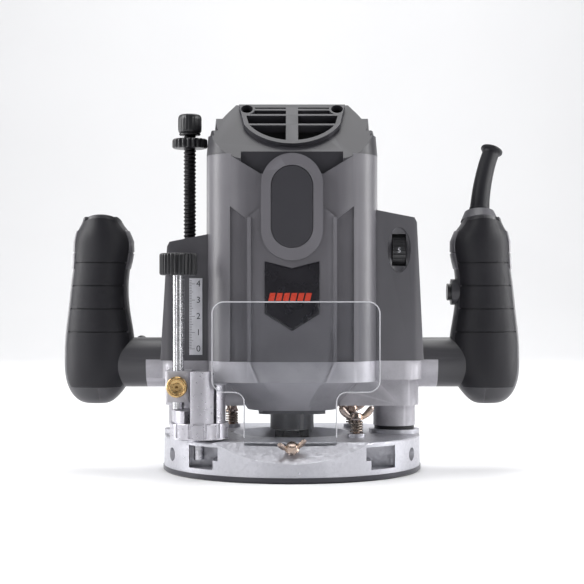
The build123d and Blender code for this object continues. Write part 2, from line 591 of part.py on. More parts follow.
def speed_dial():
    """Thumb wheel of the speed control, ribbed round its rim."""
    wheel = post(DIAL_R, -4, 4) - teeth(post(0.5, -5, 5, DIAL_R), 24)
    return Pos(DIAL_X, DIAL_Y, DIAL_Z) * Rot(0, 90, 0) * wheel


def front_badge():
    """Arrow-shaped badge on the front panel."""
    return profile_prism([(-16.6, 130.6), (0, 126.4), (16.6, 130.6), (16.6, 98.6), (0, 88.2), (-16.6, 98.6)],
                         -PANEL_Y - 0.05, -PANEL_Y - 0.8)


def rating_plate():
    """Foil plate on the rear panel."""
    return block(-17, 17, PANEL_Y + 0.05, PANEL_Y + 0.6, 76.4, 129.8)


def depth_scale():
    """Printed scale strip on the left case."""
    return block(-63.2, -55.2, -CASE_HALF_Y - 0.05, -CASE_HALF_Y - 0.6, 73.3, 120.5)


# ---- handles ------------------------------------------------------------------------------------
def grip_solid(inset=0.0):
    """Right-hand grip as a smooth stack of ellipses, drawn in by inset."""
    rings = []
    for z, x0, x1, half in GRIP_SECTIONS:
        if half - inset > 3:
            rings.append(Plane(((x0 + x1) / 2, 0, z)) * Ellipse((x1 - x0) / 2 - inset, half - inset))
    return loft(rings)


def top_cut(z):
    """Everything above the slanting top of the grip."""
    return Pos(SEAM_X, 0, z) * Rot(-TOP_TILT, 0, 0) * Pos(0, 0, 30) * Box(80, 80, 60)


def neck_solid(r):
    """Neck from the grip's heel to the bracket; its lower half stops at the lug."""
    neck = rod_x(r, 82.2, NECK_END_X, 0, LUG_Z) + Pos(NECK_END_X, 0, LUG_Z) * Sphere(r)
    return neck - (block(70, LUG_END + 0.05, -30, 30, 30, BRACKET_TOP + 0.05))


def grip_pad():
    """Rubber pad over the front of the grip, with four grooves."""
    pad = (grip_solid() - grip_solid(PAD_T)) & block(90, 150, -30, PAD_EDGE_Y, PAD_FOOT_Z, GRIP_TOP + 2)
    pad -= top_cut(GRIP_TOP - 3)
    pad -= rod_x(LUG_R + 0.1, 70, NECK_END_X, 0, LUG_Z) + Pos(NECK_END_X, 0, LUG_Z) * Sphere(LUG_R + 0.1)
    for z in GROOVE_HEIGHTS:
        pad -= block(90, 150, -30, -4, z, z + 0.9) - grip_solid(0.9)
    return pad


def handle_shell(with_switch):
    """Hard shell of the right-hand grip and neck, hollow, before it is parted."""
    body = grip_solid() - top_cut(GRIP_TOP)
    body += neck_solid(LUG_R)
    pad_zone = block(90, 150, -30, PAD_EDGE_Y + 0.05, PAD_FOOT_Z - 0.05, 170) - neck_solid(LUG_R + 0.05)
    body -= (grip_solid() - grip_solid(PAD_T + 0.05)) & pad_zone
    body -= grip_solid(SHELL_WALL) & block(90, 150, -30, 30, 50, GRIP_TOP - 8)
    if with_switch:
        body -= block(112.1, 128.9, 6, 30, TRIGGER_Z0 - 0.4, TRIGGER_Z1 + 0.4)
        body += rod_x(8.2, 101.0, 108, 0, LOCK_ON_Z)
        body -= rod_x(LOCK_ON_R + 0.1, 96, 112, 0, LOCK_ON_Z)
        body -= post(7.6, 140, 175, 119.5, 1.6)
    return body


def handle_half(shell, inner):
    """Inner or outer moulding of a handle, parted at the seam plane."""
    gap = 0.03
    low, high = (60, SEAM_X - gap) if inner else (SEAM_X + gap, 160)
    return largest(shell & block(low, high, -40, 40, 0, 200))


def largest(shape):
    """The biggest solid of a result, dropping any loose sliver."""
    return shape.solids().sort_by(SortBy.VOLUME)[-1]


def trigger():
    """Switch trigger at the rear of the right-hand grip."""
    lever = grip_solid(-2.6) & block(112.6, 128.4, 10, 40, TRIGGER_Z0, TRIGGER_Z1)
    return lever - rod_x(3.2, 110, 130, 10, 99)


def lock_on_button():
    """Round button on the inner side of the right-hand grip."""
    return rod_x(LOCK_ON_R, 98.6, 107.5, 0, LOCK_ON_Z)


def sleeve_path():
    """Centreline of the cord sleeve: up out of the grip, then bending outwards and to the rear."""
    stations = [(119.5, 1.0, 149), (119.5, 2.5, 160), (121.6, 6.5, 178), (125.0, 11.0, 192), (129.5, 15.5, 204.5)]
    return Spline(*stations, tangents=[(0, 0.12, 1), (0.38, 0.30, 0.85)])


def cord_sleeve():
    """Bend protector: a tapered rubber tube with a flared end."""
    path = sleeve_path()
    start, end = across_path(path, 0.0), across_path(path, FLARE_AT)
    tube = loft([across_path(path, t) * Circle(r) for t, r in SLEEVE_RADII])
    flare = loft([end * Circle(5.4), end.offset(2.2) * Circle(7.2), end.offset(3.4) * Circle(7.2)], ruled=True)
    bore = loft([across_path(path, t) * Circle(CORD_R) for t in (0.0, 0.3, 0.6, FLARE_AT)])
    bore += extrude(end * Circle(CORD_R), 6) + extrude(start * Circle(CORD_R), -3)
    return tube + flare - bore


def across_path(path, t):
    """Plane square to the path at a share of its length."""
    return Plane(path @ t, z_dir=path % t)


def cord_collar():
    """Ring round the foot of the sleeve, on the slanting top of the grip."""
    seat = Pos(119.5, 1.2, GRIP_TOP) * Rot(-TOP_TILT, 0, 0)
    ring = seat * (Pos(0, 0, 3.05) * Cone(12.0, 9.4, 6.0))
    return ring - post(8.0, 140, 175, 119.5, 2.4)


# ---- inside the motor unit -------------------------------------------------------------------------
def stator():
    """Laminated field ring round the armature, notched at its four corners."""
    ring = post(40, 100, 150) - post(24.5, 99, 151)
    return ring - Rot(0, 0, 45) * teeth(block(30, 50, -7, 7, 99, 151), 4)


def armature_core():
    """Slotted iron core on the shaft."""
    slots = teeth(block(18, 26, -1.2, 1.2, 101, 149), 12)
    return post(23.8, 102, 148) - slots - post(SHAFT_RADII[1], 100, 150)


def commutator():
    """Copper segments that the brushes run on."""
    gaps = teeth(block(12, 14, -0.3, 0.3, 157, 175), 24)
    return post(13, 158.5, 173.5) - gaps - post(SHAFT_RADII[2], 156, 176)


def cooling_fan():
    """Radial fan at the foot of the motor."""
    fan = post(14, 76, 90) + post(37, 76, 78) + teeth(block(12, 36, -0.9, 0.9, 77, 90), 12)
    return fan - post(SHAFT_RADII[0], 75, 91)


def armature_shaft():
    """Stepped shaft from the collet seat up to the upper bearing, with the lock pin's hole."""
    heights = (25.5, 100.5, 151.5, 183.5, 197.0)
    steps = [post(r, z0, z1) for r, z0, z1 in zip(SHAFT_RADII, heights, heights[1:])]
    shaft = steps[0] + steps[1] + steps[2] + steps[3]
    return shaft - post(SHANK_R, 20, SHANK_END) - rod_y(1.6, 6, 9, 0, SPINDLE_LOCK_Z - 2)


def bearing(r_in, r_out, z0, z1):
    """Ball bearing drawn as one ring."""
    return post(r_out, z0, z1) - post(r_in, z0 - 1, z1 + 1)


def collet():
    """Split sleeve that grips the shank."""
    sleeve = post(SHAFT_RADII[0], 16.5, 25.4) - post(SHANK_R, 10, 30)
    return sleeve - teeth(block(5, 20, -0.4, 0.4, 15, 22), 6)


def collet_nut():
    """Hexagonal nut that closes the collet and screws on the spindle end."""
    hexagon = Pos(0, 0, NUT_MOUTH) * extrude(RegularPolygon(11.0, 6), 9.0)
    hexagon = hexagon & Pos(0, 0, NUT_MOUTH + 4.5) * Cylinder(10.7, 9.0)
    return hexagon - post(8.05, 16.45, 40) - post(SHANK_R, 10, 20)


def brush_gear():
    """Brass holders with their carbon brushes, front and rear of the commutator."""
    holder = rod_y(6.0, 20, 49, 0, BRUSH_Z) - block(-3.1, 3.1, 10, 46, BRUSH_Z - 3.6, BRUSH_Z + 3.6)
    carbon = block(-3.0, 3.0, 13.6, 30, BRUSH_Z - 3.5, BRUSH_Z + 3.5)
    return Compound(children=[holder, carbon, mirrored(holder, "Y"), mirrored(carbon, "Y")])


def brush_frame():
    """Moulded ring that holds the brush holders and the upper bearing inside the housing."""
    frame = post(41, 152, 156.5) - post(16, 151, 158)
    frame += post(16, 184, 197) - post(11.04, 183, 195.5) - post(5, 194, 198)
    for a in (0, 180):
        frame += Rot(0, 0, a) * (block(14, 41, -3, 3, 184, 190) + block(36, 41, -3, 3, 153, 189))
    return frame


def control_board():
    """Circuit board of the speed control, upright in the right-hand case."""
    return block(54.5, 56.1, 12, 26, 80, 140)


def switch_unit():
    """Main switch behind the trigger."""
    return rounded_prism(113.0, 128.0, -10, 4.5, 84, 116, 2)


def lock_lever():
    """Plunge-lock lever: hub, cranked arm and the screw that presses on the column."""
    y0, y1 = LEVER_BOSS_Y + 0.2, LEVER_BOSS_Y + 9.0
    outline = [(2, 7.4), (9.5, 2.5), (45.0, -3.8), (48.0, -1.5), (48.0, 2.0), (46.0, 4.0), (12.0, 8.2)]
    arm = profile_prism(outline, y0, y1)
    lever = Rot(0, -LEVER_REST, 0) * arm + rod_y(8.8, y0, y1, 0, 0) + rod_y(3.0, COLUMN_R + 0.4, y0 + 1, 0, 0)
    lever -= rod_y(4.4, y1 - 3, y1 + 3, 0, 0)
    return Pos(-COLUMN_X, 0, LEVER_Z) * lever


def parts():
    """Every sub-part by the name of its node."""
    right_shell = handle_shell(with_switch=True)
    left_shell = handle_shell(with_switch=False)
    named = {
        "base_casting": base_casting(),
        "sole_plate": sole_plate(),
        "sole_screws": sole_screws(),
        "column_left": column(-1),
        "column_right": column(1),
        "column_bumpers": column_bumpers(),
        "return_springs": return_springs(),
        "clamp_springs": clamp_springs(),
        "chip_shield": chip_shield(),
        "shield_wing_bolt": shield_wing_bolt(),
        "turret_stop": turret(),
        "turret_pivot": turret_pivot(),
        "depth_rod": depth_rod(),
        "depth_knob": depth_knob(),
        "depth_lock_screw": depth_lock_screw(),
        "height_rod": height_rod(),
        "height_knob": height_knob(),
        "limit_nut": limit_nut(),
        "motor_bracket": motor_bracket(),
        "bearing_nose": bearing_nose(),
        "spindle_lock_button": spindle_lock_button(),
        "motor_housing": motor_housing(),
        "brush_covers": brush_covers(),
        "top_cap": top_cap(),
        "cap_screws": cap_screws(),
        "left_column_case": left_column_case(),
        "electronics_case_front": electronics_case_front(),
        "electronics_case_rear": electronics_case_rear(),
        "case_screws": case_screws(),
        "speed_dial": speed_dial(),
        "front_badge": front_badge(),
        "rating_plate": rating_plate(),
        "depth_scale": depth_scale(),
        "right_handle_inner": handle_half(right_shell, True),
        "right_handle_outer": handle_half(right_shell, False),
        "right_grip_pad": grip_pad(),
        "left_handle_inner": mirrored(handle_half(left_shell, True), "X"),
        "left_handle_outer": mirrored(handle_half(left_shell, False), "X"),
        "left_grip_pad": mirrored(grip_pad(), "X"),
        "trigger": trigger(),
        "lock_on_button": lock_on_button(),
        "cord_sleeve": cord_sleeve(),
        "cord_collar": cord_collar(),
        "switch_unit": switch_unit(),
        "control_board": control_board(),
        "stator": stator(),
        "brush_gear": brush_gear(),
        "brush_frame": brush_frame(),
        "lower_bearing": bearing(SHAFT_RADII[0], BEARING_R, 40.1, 47.5),
        "upper_bearing": bearing(SHAFT_RADII[3], 11.0, 186, 194),
        "armature_shaft": armature_shaft(),
        "armature_core": armature_core(),
        "commutator": commutator(),
        "cooling_fan": cooling_fan(),
        "collet": collet(),
        "collet_nut": collet_nut(),
        "lock_lever": lock_lever(),
    }
    for name, (x, y), turn in zip(CLAMP_NAMES, CLAMP_AT, (8.0, 20.0, 75.0)):
        named[f"wing_bolt_{name}"] = Pos(x, y, 0) * wing_bolt(ROD_Z + ROD_BORE_R + 0.3, CLAMP_COLLAR, turn)
    return named


def main():
    os.makedirs("parts", exist_ok=True)
    for name, shape in parts().items():
        export_step(shape, f"parts/{name}.step")


if __name__ == "__main__":
    main()
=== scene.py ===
import bpy
import bmesh
import json
import math
import numpy as np
from mathutils import Matrix, Vector


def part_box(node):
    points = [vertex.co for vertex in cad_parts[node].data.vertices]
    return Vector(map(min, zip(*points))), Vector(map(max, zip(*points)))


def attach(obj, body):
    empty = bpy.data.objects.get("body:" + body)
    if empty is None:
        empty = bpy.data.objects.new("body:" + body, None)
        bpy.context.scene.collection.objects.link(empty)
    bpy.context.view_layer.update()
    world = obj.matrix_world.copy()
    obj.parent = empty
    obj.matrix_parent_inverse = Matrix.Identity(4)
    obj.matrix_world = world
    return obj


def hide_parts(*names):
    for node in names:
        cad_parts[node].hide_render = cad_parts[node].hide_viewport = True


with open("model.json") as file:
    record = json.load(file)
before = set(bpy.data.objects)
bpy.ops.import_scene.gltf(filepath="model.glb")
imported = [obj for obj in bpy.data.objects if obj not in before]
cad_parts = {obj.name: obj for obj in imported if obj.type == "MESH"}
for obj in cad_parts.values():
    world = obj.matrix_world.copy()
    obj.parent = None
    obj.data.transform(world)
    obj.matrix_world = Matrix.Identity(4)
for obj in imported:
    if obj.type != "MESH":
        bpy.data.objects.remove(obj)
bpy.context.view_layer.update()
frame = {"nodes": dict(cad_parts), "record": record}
MM = 0.001      # shapes below are worked out in millimetres


# ---- shaping ----
def skin(points):
    """Vertices and faces of a grid of points (rows, columns round), each end closed round a centre point."""
    rows, cols, _ = points.shape
    row, col = np.meshgrid(np.arange(rows - 1), np.arange(cols), indexing="ij")
    after = (col + 1) % cols
    quads = np.stack([row * cols + col, row * cols + after,
                      (row + 1) * cols + after, (row + 1) * cols + col], -1)
    ring = np.arange(cols)
    following = (ring + 1) % cols
    last = (rows - 1) * cols
    near_end = np.stack([following, ring, np.full(cols, rows * cols)], -1)
    far_end = np.stack([last + ring, last + following, np.full(cols, rows * cols + 1)], -1)
    verts = np.vstack([points.reshape(-1, 3), points[0].mean(0), points[-1].mean(0)])
    return verts, quads.reshape(-1, 4).tolist() + near_end.tolist() + far_end.tolist()


def layered(levels):
    """Vertices and faces of (outline in X and Z, Y) pairs: walls from each to the next, both ends closed."""
    count = len(levels[0][0])
    ring = np.arange(count)
    after = (ring + 1) % count
    verts = [np.insert(np.asarray(outline, float), 1, y, axis=1) for outline, y in levels]
    faces = [ring.tolist(), (ring + count * (len(levels) - 1))[::-1].tolist()]
    for low in range(0, count * (len(levels) - 1), count):
        high = low + count
        faces += np.stack([low + ring, low + after, high + after, high + ring], -1).tolist()
    return np.vstack(verts), faces


def prism(points, y0, y1):
    """Vertices and faces of a polygon in X and Z, drawn from y0 to y1."""
    return layered([(points, y0), (points, y1)])


def joined(parts):
    """One set of vertices and faces from several."""
    verts, faces, start = [], [], 0
    for part_verts, part_faces in parts:
        verts.append(np.asarray(part_verts, float))
        faces += [[start + v for v in face] for face in part_faces]
        start += len(part_verts)
    return np.vstack(verts), faces


def make_piece(name, shape, body, slot, stands_for=(), finish=None):
    """Piece from vertices in mm and faces: normals outwards, its slot's finish or another, on a body."""
    verts, faces = shape
    mesh = bpy.data.meshes.new(name)
    mesh.from_pydata((np.asarray(verts) * MM).tolist(), [], faces)
    work = bmesh.new()
    work.from_mesh(mesh)
    bmesh.ops.recalc_face_normals(work, faces=work.faces)
    work.to_mesh(mesh)
    work.free()
    mesh.materials.append(finish or FINISH_OF_SLOT[slot])
    piece = bpy.data.objects.new(name, mesh)
    bpy.context.scene.collection.objects.link(piece)
    piece.modifiers.new("smooth shading", "NODES").node_group = SMOOTH_GROUP
    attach(piece, body)
    if stands_for:
        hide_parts(*stands_for)
    return piece


def curve_through(points, count):
    """Smooth run through points: cubic pieces whose tangents are half the step between the neighbours."""
    points = np.asarray(points, float)
    tangent = np.gradient(points, axis=0)
    t = np.linspace(0, len(points) - 1, count)
    i = np.minimum(t.astype(int), len(points) - 2)
    f = (t - i).reshape((-1,) + (1,) * (points.ndim - 1))
    here, there = 2 * f ** 3 - 3 * f ** 2 + 1, 3 * f ** 2 - 2 * f ** 3
    leave, arrive = f ** 3 - 2 * f ** 2 + f, f ** 3 - f ** 2
    return here * points[i] + leave * tangent[i] + there * points[i + 1] + arrive * tangent[i + 1]


def round_ends(count, start, end):
    """Factor sqrt(1 - 0.98 q ** 2), where q falls from 1 to 0 over a run's first share and rises over its last."""
    s = np.linspace(0, 1, count)
    rise = np.clip((start - s) / start, 0, 1)
    fall = np.clip((s - 1 + end) / end, 0, 1)
    return np.sqrt(1 - 0.98 * rise ** 2) * np.sqrt(1 - 0.98 * fall ** 2)


def unit(vectors):
    """The same directions, each of length one."""
    return vectors / np.linalg.norm(vectors, axis=1, keepdims=True)


def swept(path, half_wide, half_thick, flat, sides=24, power=2.6):
    """Rounded bar along a path: sections |x / wide| ** power + |y / thick| ** power = 1, thin along flat."""
    path = np.asarray(path, float)
    across = unit(np.cross(unit(np.gradient(path, axis=0)), flat))
    a = np.arange(sides) * (2 * np.pi / sides)
    x = np.sign(np.cos(a)) * np.abs(np.cos(a)) ** (2 / power)
    y = np.sign(np.sin(a)) * np.abs(np.sin(a)) ** (2 / power)
    wide = np.asarray(half_wide, float)[:, None, None] * x[None, :, None] * across[:, None, :]
    thick = np.asarray(half_thick, float)[:, None, None] * y[None, :, None] * np.asarray(flat, float)
    return path[:, None, :] + wide + thick


def tube(path, radii, sides):
    """Circles of the given radii square to a path, carried along it without twist."""
    path = np.asarray(path, float)
    tangent = unit(np.gradient(path, axis=0))
    first = unit(np.cross(tangent, [0.0, 1.0, 0.0]))
    second = np.cross(tangent, first)
    a = (np.arange(sides) * (2 * np.pi / sides))[None, :, None]
    r = np.asarray(radii, float)[:, None, None]
    return path[:, None, :] + r * (np.cos(a) * first[:, None, :] + np.sin(a) * second[:, None, :])


def turned(profile, sides, swell=None):
    """Surface turned about Z from (radius, height) pairs; swell(angle, height) adds ribs or a thread."""
    profile = np.asarray(profile, float)
    a = np.arange(sides)[None, :] * (2 * np.pi / sides)
    r = np.broadcast_to(profile[:, :1], (len(profile), sides))
    z = np.broadcast_to(profile[:, 1:], (len(profile), sides))
    if swell is not None:
        r = r + swell(a, z)
    return np.stack([r * np.cos(a), r * np.sin(a), z], -1)


def ribs(count, depth, z_low, z_high):
    """Ribs: the radius falls by depth * ((1 - cos(count a)) / 2) ** 2 between two heights."""
    def swell(a, z):
        return -depth * (0.5 - 0.5 * np.cos(count * a)) ** 2 * ((z > z_low) & (z < z_high))
    return swell


def thread(pitch, depth, z_low, z_high):
    """Thread: the radius falls by a clipped triangle wave of z / pitch - a / 2 pi between two heights."""
    def swell(a, z):
        wave = 1 - np.abs(2 * ((z / pitch - a / (2 * np.pi)) % 1.0) - 1)
        return -depth * np.clip(1.6 * wave - 0.3, 0, 1) * ((z > z_low) & (z < z_high))
    return swell


def placed(points, at, toward=(0, 0, 1), spin=0.0):
    """Points turned about their own Z by spin degrees, stood with +Z along a direction, at a place in mm."""
    stand = Vector((0, 0, 1)).rotation_difference(Vector(toward)).to_matrix()
    turn = stand @ Matrix.Rotation(math.radians(spin), 3, "Z")
    return points @ np.array(turn).T + np.asarray(at, float)


def lettering(text, size, centre, y):
    """Raised figures in mm, centred on an X and Z, standing out from y and read from the front."""
    curve = bpy.data.curves.new("figures", "FONT")
    curve.body, curve.size, curve.extrude = text, size, 0.03
    curve.align_x, curve.align_y = "CENTER", "CENTER"
    holder = bpy.data.objects.new("figures", curve)
    bpy.context.scene.collection.objects.link(holder)
    bpy.context.view_layer.update()
    mesh = holder.evaluated_get(bpy.context.evaluated_depsgraph_get()).to_mesh()
    flat = np.array([v.co for v in mesh.vertices])
    faces = [list(face.vertices) for face in mesh.polygons]
    bpy.data.objects.remove(holder)
    bpy.data.curves.remove(curve)
    return np.stack([centre[0] + flat[:, 0], y - flat[:, 2], centre[1] + flat[:, 1]], -1), faces


# ---- finishes ----
def blank_material(name):
    """Material with an empty node tree, its nodes and its links."""
    material = bpy.data.materials.new(name)
    material.use_nodes = True
    tree = material.node_tree
    tree.nodes.clear()
    return material, tree.nodes, tree.links


def shade(colour, factor, lift=0.0):
    """Colour times a factor plus a lift, no channel above 1, fully opaque."""
    return [min(1, c * factor + lift) for c in colour] + [1]


def moulded_plastic(name, colour, rough, grain=1500.0, relief=0.05, drift=0.12, edge=0.35, sheen=0.0,
                    shine=0.5):
    """Injection-moulded plastic or rubber: spark-eroded grain, slow drift of shade, lighter edges that are partly
    rubbed wear and partly a painted highlight.
    """
    material, nodes, links = blank_material(name)
    shade_frame = nodes.new("NodeFrame")
    shade_frame.label = "shade of the moulding"
    grain_frame = nodes.new("NodeFrame")
    grain_frame.label = "spark-eroded grain"
    place = nodes.new("ShaderNodeTexCoord")
    place.label = "place on the piece"
    place.location = (-1200, 0)
    flow = nodes.new("ShaderNodeTexNoise")
    flow.label = "flow of the melt"
    flow.location = (-960, 240)
    flow.inputs["Scale"].default_value = 22.0
    flow.inputs["Detail"].default_value = 3.0
    tint = nodes.new("ShaderNodeValToRGB")
    tint.label = "light and dark of the shade"
    tint.location = (-720, 240)
    low, high = tint.color_ramp.elements
    low.position, high.position = 0.3, 0.7
    low.color = shade(colour, 1 - drift)
    high.color = shade(colour, 1 + drift)
    geometry = nodes.new("ShaderNodeNewGeometry")
    geometry.label = "where edges are"
    geometry.location = (-960, 520)
    # Painted highlight: pointiness makes the edges paler, partly for rubbed wear and partly standing in for light
    # caught on the edges.
    edge_wear_and_highlight_mask = nodes.new("ShaderNodeMapRange")
    edge_wear_and_highlight_mask.label = "rubbed edges with painted highlight"
    edge_wear_and_highlight_mask.location = (-720, 520)
    edge_wear_and_highlight_mask.inputs["From Min"].default_value = 0.52
    edge_wear_and_highlight_mask.inputs["From Max"].default_value = 0.60
    edge_wear_and_highlight_mask.inputs["To Max"].default_value = edge
    edge_wear_and_highlight_mix = nodes.new("ShaderNodeMix")
    edge_wear_and_highlight_mix.label = "paler where rubbed, painted highlight"
    edge_wear_and_highlight_mix.location = (-440, 360)
    edge_wear_and_highlight_mix.data_type = "RGBA"
    edge_wear_and_highlight_mix.inputs[7].default_value = shade(colour, 1.7, 0.03)
    grains = nodes.new("ShaderNodeTexNoise")
    grains.label = "fine grain"
    grains.location = (-960, -160)
    grains.inputs["Scale"].default_value = grain
    grains.inputs["Detail"].default_value = 4.0
    grains.inputs["Roughness"].default_value = 0.65
    bump = nodes.new("ShaderNodeBump")
    bump.label = "depth of the grain"
    bump.location = (-440, -240)
    bump.inputs["Strength"].default_value = 0.35
    bump.inputs["Distance"].default_value = relief * MM
    gloss = nodes.new("ShaderNodeMapRange")
    gloss.label = "gloss varies with the grain"
    gloss.location = (-720, -60)
    gloss.inputs["To Min"].default_value = rough - 0.07
    gloss.inputs["To Max"].default_value = rough + 0.08
    surface = nodes.new("ShaderNodeBsdfPrincipled")
    surface.label = "plastic"
    surface.location = (-160, 120)
    surface.inputs["IOR"].default_value = 1.5
    surface.inputs["Specular IOR Level"].default_value = shine
    surface.inputs["Sheen Weight"].default_value = sheen
    out = nodes.new("ShaderNodeOutputMaterial")
    out.location = (140, 120)
    for node in (flow, tint, geometry, edge_wear_and_highlight_mask, edge_wear_and_highlight_mix):
        node.parent = shade_frame
    for node in (grains, bump, gloss):
        node.parent = grain_frame
    links.new(place.outputs["Object"], flow.inputs["Vector"])
    links.new(place.outputs["Object"], grains.inputs["Vector"])
    links.new(flow.outputs["Fac"], tint.inputs["Fac"])
    links.new(geometry.outputs["Pointiness"], edge_wear_and_highlight_mask.inputs["Value"])
    links.new(edge_wear_and_highlight_mask.outputs["Result"], edge_wear_and_highlight_mix.inputs["Factor"])
    links.new(tint.outputs["Color"], edge_wear_and_highlight_mix.inputs[6])
    links.new(edge_wear_and_highlight_mix.outputs[2], surface.inputs["Base Color"])
    links.new(grains.outputs["Fac"], bump.inputs["Height"])
    links.new(grains.outputs["Fac"], gloss.inputs["Value"])
    links.new(gloss.outputs["Result"], surface.inputs["Roughness"])
    links.new(bump.outputs["Normal"], surface.inputs["Normal"])
    links.new(surface.outputs["BSDF"], out.inputs["Surface"])
    return material


def cast_metal(name, colour, rough, speck=900.0, relief=0.12, metallic=0.85, sparkle=0.3):
    """Bead-blasted casting: pitted skin with bright specks, faint stains, brighter edges that are partly worked
    metal and partly a painted highlight.
    """
    material, nodes, links = blank_material(name)
    skin_frame = nodes.new("NodeFrame")
    skin_frame.label = "blasted skin"
    stain_frame = nodes.new("NodeFrame")
    stain_frame.label = "stains and bright edges"
    place = nodes.new("ShaderNodeTexCoord")
    place.label = "place on the piece"
    place.location = (-1300, 0)
    pits = nodes.new("ShaderNodeTexVoronoi")
    pits.label = "blast pits"
    pits.location = (-1040, -200)
    pits.inputs["Scale"].default_value = speck
    waves = nodes.new("ShaderNodeTexNoise")
    waves.label = "unevenness of the mould"
    waves.location = (-1040, -480)
    waves.inputs["Scale"].default_value = 140.0
    waves.inputs["Detail"].default_value = 5.0
    sum_height = nodes.new("ShaderNodeMath")
    sum_height.label = "pits on the unevenness"
    sum_height.location = (-780, -320)
    sum_height.operation = "MULTIPLY_ADD"
    sum_height.inputs[1].default_value = 0.6
    bump = nodes.new("ShaderNodeBump")
    bump.label = "depth of the skin"
    bump.location = (-520, -320)
    bump.inputs["Strength"].default_value = 0.4
    bump.inputs["Distance"].default_value = relief * MM
    gloss = nodes.new("ShaderNodeMapRange")
    gloss.label = "specks catch the light"
    gloss.location = (-780, -80)
    gloss.inputs["To Min"].default_value = max(0.05, rough - sparkle * 0.4)
    gloss.inputs["To Max"].default_value = rough + sparkle * 0.4
    stains = nodes.new("ShaderNodeTexNoise")
    stains.label = "handling stains"
    stains.location = (-1040, 260)
    stains.inputs["Scale"].default_value = 45.0
    stains.inputs["Detail"].default_value = 6.0
    tint = nodes.new("ShaderNodeValToRGB")
    tint.label = "stained and clean metal"
    tint.location = (-780, 260)
    low, high = tint.color_ramp.elements
    low.position, high.position = 0.32, 0.62
    low.color = shade(colour, 0.84)
    high.color = shade(colour, 1.06)
    geometry = nodes.new("ShaderNodeNewGeometry")
    geometry.label = "where edges are"
    geometry.location = (-1040, 520)
    # Painted highlight: pointiness makes the edges brighter, partly for worked metal and partly standing in for
    # light caught on the edges.
    edge_wear_and_highlight_mask = nodes.new("ShaderNodeMapRange")
    edge_wear_and_highlight_mask.label = "worked edges with painted highlight"
    edge_wear_and_highlight_mask.location = (-780, 520)
    edge_wear_and_highlight_mask.inputs["From Min"].default_value = 0.52
    edge_wear_and_highlight_mask.inputs["From Max"].default_value = 0.60
    edge_wear_and_highlight_mask.inputs["To Max"].default_value = 0.6
    edge_wear_and_highlight_mix = nodes.new("ShaderNodeMix")
    edge_wear_and_highlight_mix.label = "bright where worked, painted highlight"
    edge_wear_and_highlight_mix.location = (-500, 360)
    edge_wear_and_highlight_mix.data_type = "RGBA"
    edge_wear_and_highlight_mix.inputs[7].default_value = shade(colour, 1.2, 0.1)
    surface = nodes.new("ShaderNodeBsdfPrincipled")
    surface.label = "cast metal"
    surface.location = (-200, 100)
    surface.inputs["Metallic"].default_value = metallic
    out = nodes.new("ShaderNodeOutputMaterial")
    out.location = (100, 100)
    for node in (pits, waves, sum_height, bump, gloss):
        node.parent = skin_frame
    for node in (stains, tint, geometry, edge_wear_and_highlight_mask, edge_wear_and_highlight_mix):
        node.parent = stain_frame
    links.new(place.outputs["Object"], pits.inputs["Vector"])
    links.new(place.outputs["Object"], waves.inputs["Vector"])
    links.new(place.outputs["Object"], stains.inputs["Vector"])
    links.new(pits.outputs["Distance"], sum_height.inputs[0])
    links.new(waves.outputs["Fac"], sum_height.inputs[2])
    links.new(sum_height.outputs["Value"], bump.inputs["Height"])
    links.new(pits.outputs["Color"], gloss.inputs["Value"])
    links.new(stains.outputs["Fac"], tint.inputs["Fac"])
    links.new(geometry.outputs["Pointiness"], edge_wear_and_highlight_mask.inputs["Value"])
    links.new(edge_wear_and_highlight_mask.outputs["Result"], edge_wear_and_highlight_mix.inputs["Factor"])
    links.new(tint.outputs["Color"], edge_wear_and_highlight_mix.inputs[6])
    links.new(edge_wear_and_highlight_mix.outputs[2], surface.inputs["Base Color"])
    links.new(gloss.outputs["Result"], surface.inputs["Roughness"])
    links.new(bump.outputs["Normal"], surface.inputs["Normal"])
    links.new(surface.outputs["BSDF"], out.inputs["Surface"])
    return material


